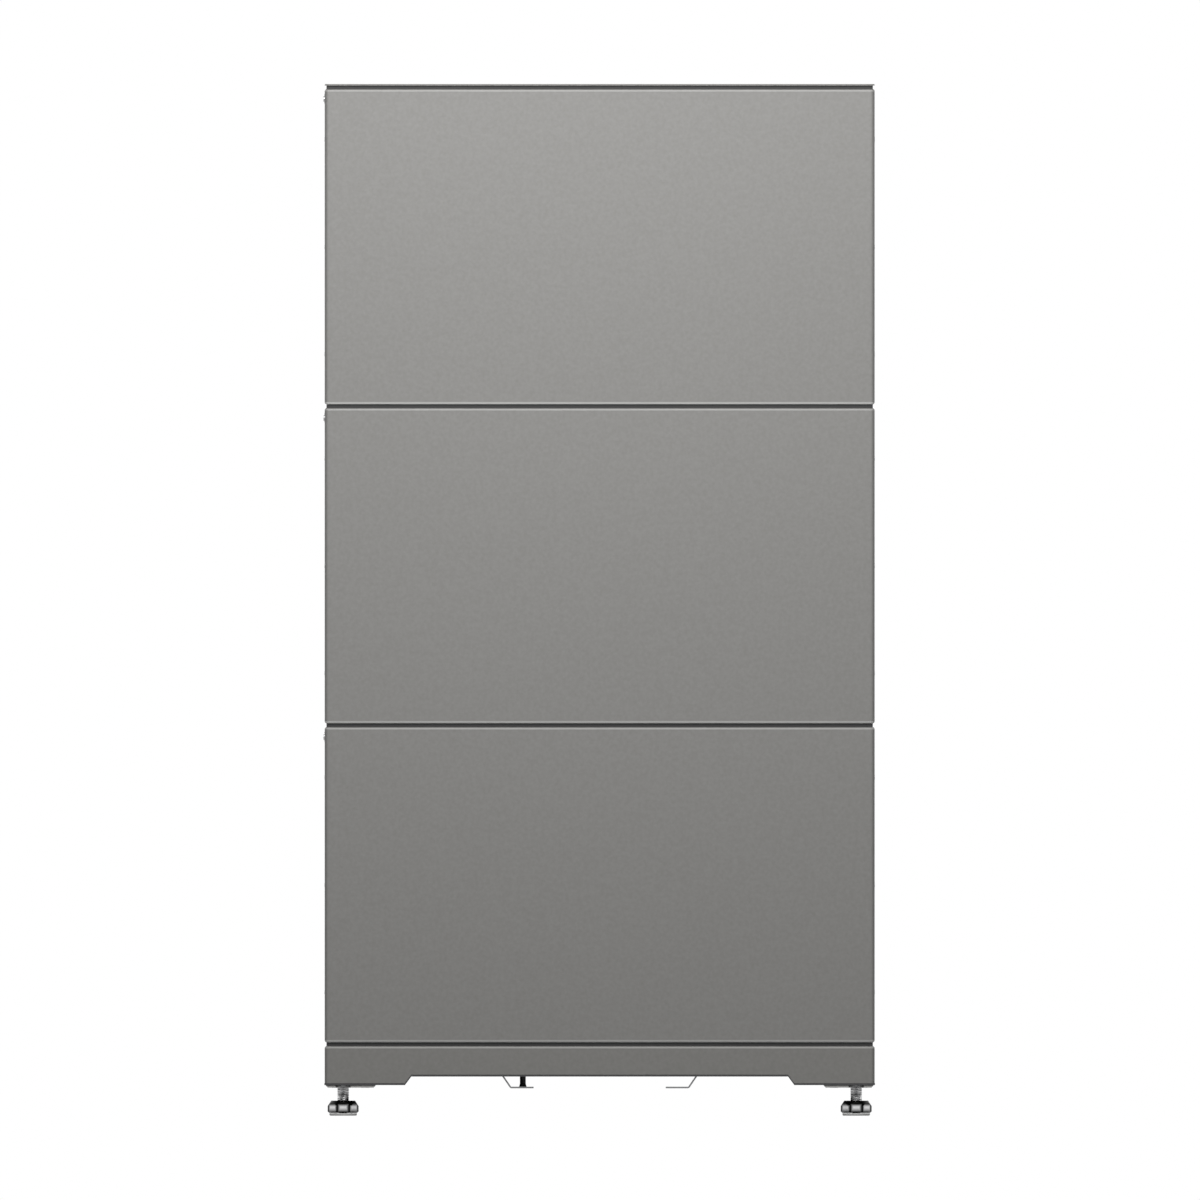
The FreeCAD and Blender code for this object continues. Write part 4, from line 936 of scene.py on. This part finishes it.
@dataclass
class BatteryModule:
    """One module: its painted case, the small fasteners on it, and the small parts on its board."""

    number: int
    fasteners: Fasteners
    board_parts: Grid
    cell_columns: int = 8
    terminal_spacing: float = 0.110
    row_gap: float = 0.010
    seal_inset: float = 0.0062
    valve_corner: float = 0.010
    valve_neck: float = 0.0038
    valve_cap_height: float = 0.0032
    insert_bore: float = 0.0024
    insert_flange: float = 0.0050
    fixing_inset: float = 0.095
    fixing_margin: float = 0.014
    board_stand: float = 0.014
    board_thickness: float = 0.0016
    transistor: Three = (0.010, 0.0045, 0.015)
    transistor_bevel: float = 0.0005
    transistor_inset: Three = (0.066, 0.002, 0.040)
    board_plug: Three = (0.006, 0.007, 0.012)
    board_plug_bevel: float = 0.0006
    board_plug_inset: Three = (0.045, 0.0033, 0.120)
    earth_screw: Screw = Screw(0.0037, 0.0012, socket=0.0015)
    earth_height: float = 0.3725
    earth_y: float = -0.020
    earth_washer: float = 0.0004
    earth_washer_radius: float = 0.0058
    cover_screw: Screw = Screw(0.0028, 0.0003, bevel=0.0002, depth=0.0006)
    cover_screw_shares: Three = (0.16, 0.5, 0.84)
    cover_screw_inset: float = 0.007
    flange_screw: Screw = Screw(0.002, 0.0007, bevel=0.0003, socket=0.0009, depth=0.0006)
    flange_screw_inset: float = 0.0025

    @property
    def body(self) -> str:
        """The body that carries the module's pieces."""
        return f"module_{self.number}"

    def build(self) -> None:
        """Dresses the module's CAD pieces and adds its fasteners and small parts."""
        for node in frame["record"]["behaviour"]["bodies"][self.body]:
            dress(node)
        self.build_earth_screw()
        self.build_cover_screws()
        self.build_flange_screws()
        self.build_socket_seal()
        self.build_vent_valve()
        self.build_wall_inserts()
        self.build_busbar_nuts()
        self.build_board_parts()

    def add(self, name: str, mesh: Mesh, slot: Slot = Slot.BUSH_STEEL) -> None:
        """Puts a small piece on the module."""
        add_piece(f"{self.body}_{name}", mesh, slot, self.body)

    def build_socket_seal(self) -> None:
        """Adds the rubber bead on the flange of the top connector, which seals against the plug above."""
        low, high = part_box(f"{self.body}_top_socket")
        inset = Vector((self.seal_inset, self.seal_inset, 0))
        start = Vector((low.x, low.y, high.z)) + inset
        self.add("socket_seal", Bead().mesh("socket_seal", start, high - inset), Slot.SEAL_RUBBER)

    def build_vent_valve(self) -> None:
        """Builds the pressure valve: a chamfered hexagonal cap with a boss on its sunk membrane."""
        node = f"{self.body}_vent_valve"
        low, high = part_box(node)
        top, flat = self.valve_cap_height, self.valve_corner * math.cos(SIXTH_TURN / 2)
        neck = [Ring(low.y - high.y + top, self.valve_neck), Ring(0.0, self.valve_neck)]
        cap = [
            Ring(0.0, self.valve_corner, flat),
            Ring(top - 0.0009, self.valve_corner, flat),
            Ring(top, self.valve_corner - 0.0014, flat),
            Ring(top, 0.0064),
        ]
        membrane = [Ring(top - 0.0011, 0.0060), Ring(top - 0.0011, 0.0026), Ring(top - 0.0003, 0.0022)]
        at = Vector(((low.x + high.x) / 2, high.y - top, (low.z + high.z) / 2))
        mesh = place(turned("vent_valve", neck + cap + membrane), at, BACK)
        add_piece(f"{node}_dressed", mesh, Slot.CONNECTOR_PLASTIC, self.body, [node])

    def build_wall_inserts(self) -> None:
        """Adds the flanged steel inserts of the two wall fixings."""
        low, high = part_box(f"{self.body}_housing")
        sleeve = [Ring(-0.010, 0.0029), Ring(-0.0002, 0.0029)]
        flange = [
            Ring(-0.0002, self.insert_flange),
            Ring(0.0005, self.insert_flange),
            Ring(0.0007, self.insert_flange - 0.0003),
        ]
        bore = [
            Ring(0.0007, self.insert_bore + 0.0003),
            Ring(0.0002, self.insert_bore),
            Ring(-0.0092, self.insert_bore),
        ]
        inserts = [
            place(
                turned("wall_insert", sleeve + flange + bore, segments=36),
                Vector((x, high.y, high.z - self.fixing_margin)),
                BACK,
            )
            for x in (low.x + self.fixing_inset, high.x - self.fixing_inset)
        ]
        self.add("wall_inserts", joined("wall_inserts", inserts))

    def build_busbar_nuts(self) -> None:
        """Adds the nuts that hold the busbars on the cells' terminals."""
        low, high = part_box(f"{self.body}_cells")
        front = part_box(f"{self.body}_busbars")[0].y
        pitch = (high.x - low.x) / self.cell_columns
        half_row = (high.z - low.z - self.row_gap) / 4
        points = [
            Vector((low.x + pitch * (column + 0.5), front, middle + side * self.terminal_spacing / 2))
            for column in range(self.cell_columns)
            for middle in (low.z + half_row, high.z - half_row)
            for side in (-1, 1)
        ]
        washer = [Ring(-0.0004, 0.0075), Ring(0.0006, 0.0075)]
        hexagon = [Ring(0.0006, 0.0058, 0.0050), Ring(0.0042, 0.0058, 0.0050), Ring(0.0047, 0.0052, 0.0050)]
        stud = [Ring(0.0047, 0.0029), Ring(0.0062, 0.0027)]
        nut = turned("busbar_nut", washer + hexagon + stud, segments=24)
        self.add("busbar_nuts", self.fasteners.mesh("busbar_nuts", points, FRONT, nut))

    def build_board_parts(self) -> None:
        """Adds the power transistors and the small plugs on the management board."""
        low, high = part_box(f"{self.body}_bms_board")
        front = high.y - self.board_stand - self.board_thickness
        across, out, up = self.transistor_inset
        transistors = self.board_parts.mesh(
            "transistors",
            block("transistor", self.transistor, self.transistor_bevel),
            counts=(4, 3),
            steps=(0.0155, 0.026),
            at=Vector((high.x - across, front - out, low.z + up)),
        )
        across, out, down = self.board_plug_inset
        plugs = self.board_parts.mesh(
            "board_plugs",
            block("board_plug", self.board_plug, self.board_plug_bevel),
            counts=(1, 6),
            steps=(0.01, 0.016),
            at=Vector((low.x + across, front - out, high.z - down)),
        )
        self.add("board_parts", joined("board_parts", [transistors, plugs]), Slot.DARK_PLASTIC)

    def build_earth_screw(self) -> None:
        """Adds the earthing screw on the left side, near the top."""
        low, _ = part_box(f"{self.body}_housing")
        rings = [Ring(height, self.earth_washer_radius) for height in (0.0, self.earth_washer)]
        washer = turned("earth_washer", rings, segments=36)
        head = place(self.earth_screw.head(), UP * self.earth_washer)
        at = Vector((low.x, self.earth_y, low.z + self.earth_height))
        self.add("earth_screw", place(joined("earth_screw", [washer, head]), at, LEFT))

    def build_cover_screws(self) -> None:
        """Adds the flush screws that hold the front cover on the housing's neck."""
        low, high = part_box(f"{self.body}_front_cover")
        heights = [low.z + (high.z - low.z) * share for share in self.cover_screw_shares]
        heads = []
        for side, x, facing in ((-1, low.x, LEFT), (1, high.x, RIGHT)):
            points = [Vector((x, high.y - self.cover_screw_inset, z)) for z in heights]
            head = self.cover_screw.head()
            heads.append(self.fasteners.mesh(f"cover_screws_{side}", points, facing, head))
        self.add("cover_screws", joined("cover_screws", heads))

    def build_flange_screws(self) -> None:
        """Adds the screws in the flange of the top connector."""
        low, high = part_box(f"{self.body}_top_socket")
        inset = self.flange_screw_inset
        points = [
            Vector((x, y, high.z))
            for x in (low.x + inset, (low.x + high.x) / 2, high.x - inset)
            for y in (low.y + inset, high.y - inset)
        ]
        heads = self.fasteners.mesh("flange_screws", points, UP, self.flange_screw.head())
        self.add("flange_screws", heads)


@dataclass
class Base:
    """The painted base, with its plate screws, cable inlets, and a dark strip of painted shade along its
    lower edge.
    """

    fasteners: Fasteners
    plate_screw: Screw = Screw(0.005, 0.0002, bevel=0.0001, socket=0.0021, depth=0.001)
    plate_screw_insets: tuple[float, float] = (0.012, 0.048)
    plate_screw_y: float = 0.025
    inlet_spacing: float = 0.030
    # The dark strip of painted shade along the lower edge: its height and thickness.
    shade_strip_height: float = 0.0024
    shade_strip_thickness: float = 0.0004
    arch_end: float = 0.1055
    arch_slope: float = 0.0077
    arch_rise: float = 0.0104

    def build(self) -> None:
        """Dresses the base's CAD pieces and adds the small ones."""
        self.build_plate_screws()
        self.build_inlet_rings()
        for node in frame["record"]["behaviour"]["bodies"]["base"]:
            dress(node)
        self.build_shade_strip()

    def build_plate_screws(self) -> None:
        """Adds the screws that hold the foot plates, from below."""
        low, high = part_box("base_foot_plates")
        points = [
            Vector((side * (high.x - inset), y, low.z))
            for side in (-1, 1)
            for inset in self.plate_screw_insets
            for y in (-self.plate_screw_y, self.plate_screw_y)
        ]
        mesh = self.fasteners.mesh("foot_plate_screws", points, DOWN, self.plate_screw.head())
        add_piece("base_foot_plate_screws", mesh, Slot.BUSH_STEEL, "base")

    def build_inlet_rings(self) -> None:
        """Adds the rubber rings that seal the two cables in their inlets."""
        low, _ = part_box("base_terminals")
        outside = [Ring(-0.0030, 0.0044), Ring(0.0002, 0.0044)]
        lip = [Ring(0.0002, 0.0062), Ring(0.0009, 0.0058), Ring(0.0012, 0.0050), Ring(0.0009, 0.0042)]
        hole = [Ring(-0.0020, 0.0038), Ring(-0.0028, 0.0038)]
        meshes = [
            place(turned("inlet_ring", outside + lip + hole, segments=36), Vector((x, 0, low.z)), DOWN)
            for x in (-self.inlet_spacing, 0.0)
        ]
        add_piece("base_inlet_rings", joined("inlet_rings", meshes), Slot.SEAL_RUBBER, "base")

    def build_shade_strip(self) -> None:
        """Adds a thin dark strip along the lower edge of the shell, in the seals' rubber finish, as painted
        shade along the edge.
        """
        low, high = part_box("base_shell")
        foot, top = low.z, low.z + self.arch_rise
        arch = [
            (low.x, foot),
            (low.x + self.arch_end - self.arch_slope, foot),
            (low.x + self.arch_end, top),
            (high.x - self.arch_end, top),
            (high.x - self.arch_end + self.arch_slope, foot),
            (high.x, foot),
        ]
        path = [Vector((x, low.y, z)) for x, z in arch]
        path += [Vector((x, high.y, z)) for x, z in reversed(arch)]
        outward = [FRONT] * len(arch) + [BACK] * len(arch)
        for i, side in ((0, LEFT), (len(arch) - 1, RIGHT), (len(arch), RIGHT), (-1, LEFT)):
            outward[i] = outward[i] + side
        shell = bmesh.new()
        thick, tall = self.shade_strip_thickness, self.shade_strip_height
        section = ((-thick, 0.0), (thick, 0.0), (thick, tall), (-thick, tall))
        rows = [
            [shell.verts.new(point + out * depth + UP * rise) for point, out in zip(path, outward)]
            for depth, rise in section
        ]
        add_bands(shell, rows + rows[:1])
        # The strip is painted shade, in a dark finish.
        add_piece("base_edge_trim", closed_mesh("base_edge_trim", shell), Slot.SEAL_RUBBER, "base")


@dataclass
class Lid:
    """The thin sheet lid on its inset rim."""

    sheet: float = 0.0018

    def build(self) -> None:
        """Gives the lid the covers' coat on its sheet, and painted shade on the rim below."""
        _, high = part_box("top_cover")
        cover = FINISHES[Slot.COVER_PAINT]
        paint = (cover.colour, cover.mottle_colour, cover.roughness)
        dress("top_cover", LidCoat("powder_coated_lid", *paint, sheet_underside=high.z - self.sheet))


@dataclass(frozen=True)
class Lamp:
    """A soft rectangular lamp that faces a point."""

    name: str
    at: Three
    towards: Three
    size: tuple[float, float]
    power: float

    def build(self) -> None:
        """Puts the lamp in the scene."""
        lamp = bpy.data.lights.new(self.name, "AREA")
        lamp.shape = "RECTANGLE"
        lamp.size, lamp.size_y = self.size
        lamp.energy = self.power
        holder = add_object(self.name, lamp)
        holder.location = self.at
        holder.rotation_euler = (Vector(self.towards) - Vector(self.at)).to_track_quat("-Z", "Y").to_euler()


@dataclass
class Studio:
    """The white studio: floor, lights and a level camera without perspective."""

    # The key over the front, and weaker lamps beside and behind.
    LAMPS: ClassVar[Sequence[Lamp]] = (
        Lamp("key", (-0.08, -2.0, 1.99), (-0.03, 0, 1.355), (2.0, 1.2), 58),
        Lamp("left_side", (-2.4, 0.9, 1.6), (0, 0.05, 0.6), (1.2, 1.6), 9),
        Lamp("right_side", (2.4, 0.9, 1.6), (0, 0.05, 0.6), (1.2, 1.6), 9),
        Lamp("rear", (0, 2.4, 1.9), (0, 0, 0.6), (2.4, 1.0), 55),
    )
    WHITE: ClassVar[tuple[float, float, float, float]] = (1, 1, 1, 1)

    frame_pixels: int = 1200
    pixel_size: float = 0.0012182
    ground_row: float = 1115.65
    centre_column: float = 599.67
    distance: float = 4.0
    clip_end: float = 50.0
    ambient: float = 0.06
    floor_half_width: float = 8.0
    floor_glow: float = 0.75
    floor_lighting_colour: str = "#7a7a7a"
    floor_seen_colour: str = "#f4f4f4"

    def build(self) -> None:
        """Builds the whole studio."""
        self.build_camera()
        self.build_floor()
        self.build_world()
        for lamp in self.LAMPS:
            lamp.build()
        bpy.context.scene.view_settings.view_transform = "Standard"

    def build_camera(self) -> None:
        """Adds the camera, straight in front of the object."""
        camera = bpy.data.cameras.new("front_camera")
        camera.type = "ORTHO"
        camera.ortho_scale = self.frame_pixels * self.pixel_size
        camera.clip_end = self.clip_end
        holder = add_object("front_camera", camera)
        middle = self.frame_pixels / 2
        holder.location = (
            (middle - self.centre_column) * self.pixel_size,
            -self.distance,
            (self.ground_row - middle) * self.pixel_size,
        )
        holder.rotation_euler = (math.pi / 2, 0, 0)
        bpy.context.scene.camera = holder

    def seen(self, tree: Tree) -> Socket:
        """Adds the nodes that tell rays that show the background from rays that only light.

        Args:
            tree: The floor's or the world's tree.

        Returns:
            1 for a ray that shows it, and 0 for one that lights.
        """
        path = add_node(tree, "ShaderNodeLightPath").outputs
        shown = path["Is Camera Ray"]
        for other in ("Is Glossy Ray", "Is Transmission Ray"):
            rays = {0: shown, 1: path[other]}
            shown = add_node(tree, "ShaderNodeMath", rays, operation="MAXIMUM").outputs[0]
        return shown

    def build_floor(self) -> None:
        """Adds the pale floor, whose faint shadows fade into white and which lights the object less."""
        reach = self.floor_half_width
        corners = [(-reach, -reach, 0), (reach, -reach, 0), (reach, reach, 0), (-reach, reach, 0)]
        mesh = bpy.data.meshes.new("studio_floor")
        mesh.from_pydata(corners, [], [(0, 1, 2, 3)])
        material = bpy.data.materials.new("studio_floor")
        material.use_nodes = True
        tree = material.node_tree
        tree.nodes.clear()
        inputs = {
            MIX_FACTOR: self.seen(tree),
            MIX_FIRST: linear(self.floor_lighting_colour),
            MIX_SECOND: linear(self.floor_seen_colour),
        }
        colour = add_node(tree, "ShaderNodeMix", inputs, data_type="RGBA")
        lit = add_node(tree, "ShaderNodeBsdfDiffuse", {"Color": colour.outputs[MIX_RESULT]})
        glow = add_node(tree, "ShaderNodeEmission", {"Color": self.WHITE, "Strength": 1.0})
        shares = {0: self.seen(tree), 1: self.floor_glow}
        white = add_node(tree, "ShaderNodeMath", shares, operation="MULTIPLY")
        inputs = {0: white.outputs[0], 1: lit.outputs[0], 2: glow.outputs[0]}
        mixed = add_node(tree, "ShaderNodeMixShader", inputs)
        add_node(tree, "ShaderNodeOutputMaterial", {"Surface": mixed.outputs[0]})
        mesh.materials.append(material)
        add_object("studio_floor", mesh)

    def build_world(self) -> None:
        """Makes the world white to the eye and dimmer as a light."""
        world = bpy.data.worlds.new("studio")
        world.use_nodes = True
        tree = world.node_tree
        tree.nodes.clear()
        dim, bright = [
            add_node(tree, "ShaderNodeBackground", {"Color": self.WHITE, "Strength": strength})
            for strength in (self.ambient, 1.0)
        ]
        inputs = {0: self.seen(tree), 1: dim.outputs[0], 2: bright.outputs[0]}
        mixed = add_node(tree, "ShaderNodeMixShader", inputs)
        add_node(tree, "ShaderNodeOutputWorld", {"Surface": mixed.outputs[0]})
        bpy.context.scene.world = world


def main() -> None:
    """Builds the scene."""
    logging.basicConfig(level=logging.INFO, format="%(message)s")
    Studio().build()
    fasteners = Fasteners(Slot.BUSH_STEEL)
    Base(fasteners).build()
    board_parts = Grid(Slot.DARK_PLASTIC)
    thread = StudThread()
    for corner in ("front_left", "front_right", "rear_left", "rear_right"):
        Foot(corner, thread).build()
    for number in (1, 2, 3):
        BatteryModule(number, fasteners, board_parts).build()
    Lid().build()


if __name__ == "__main__":
    main()
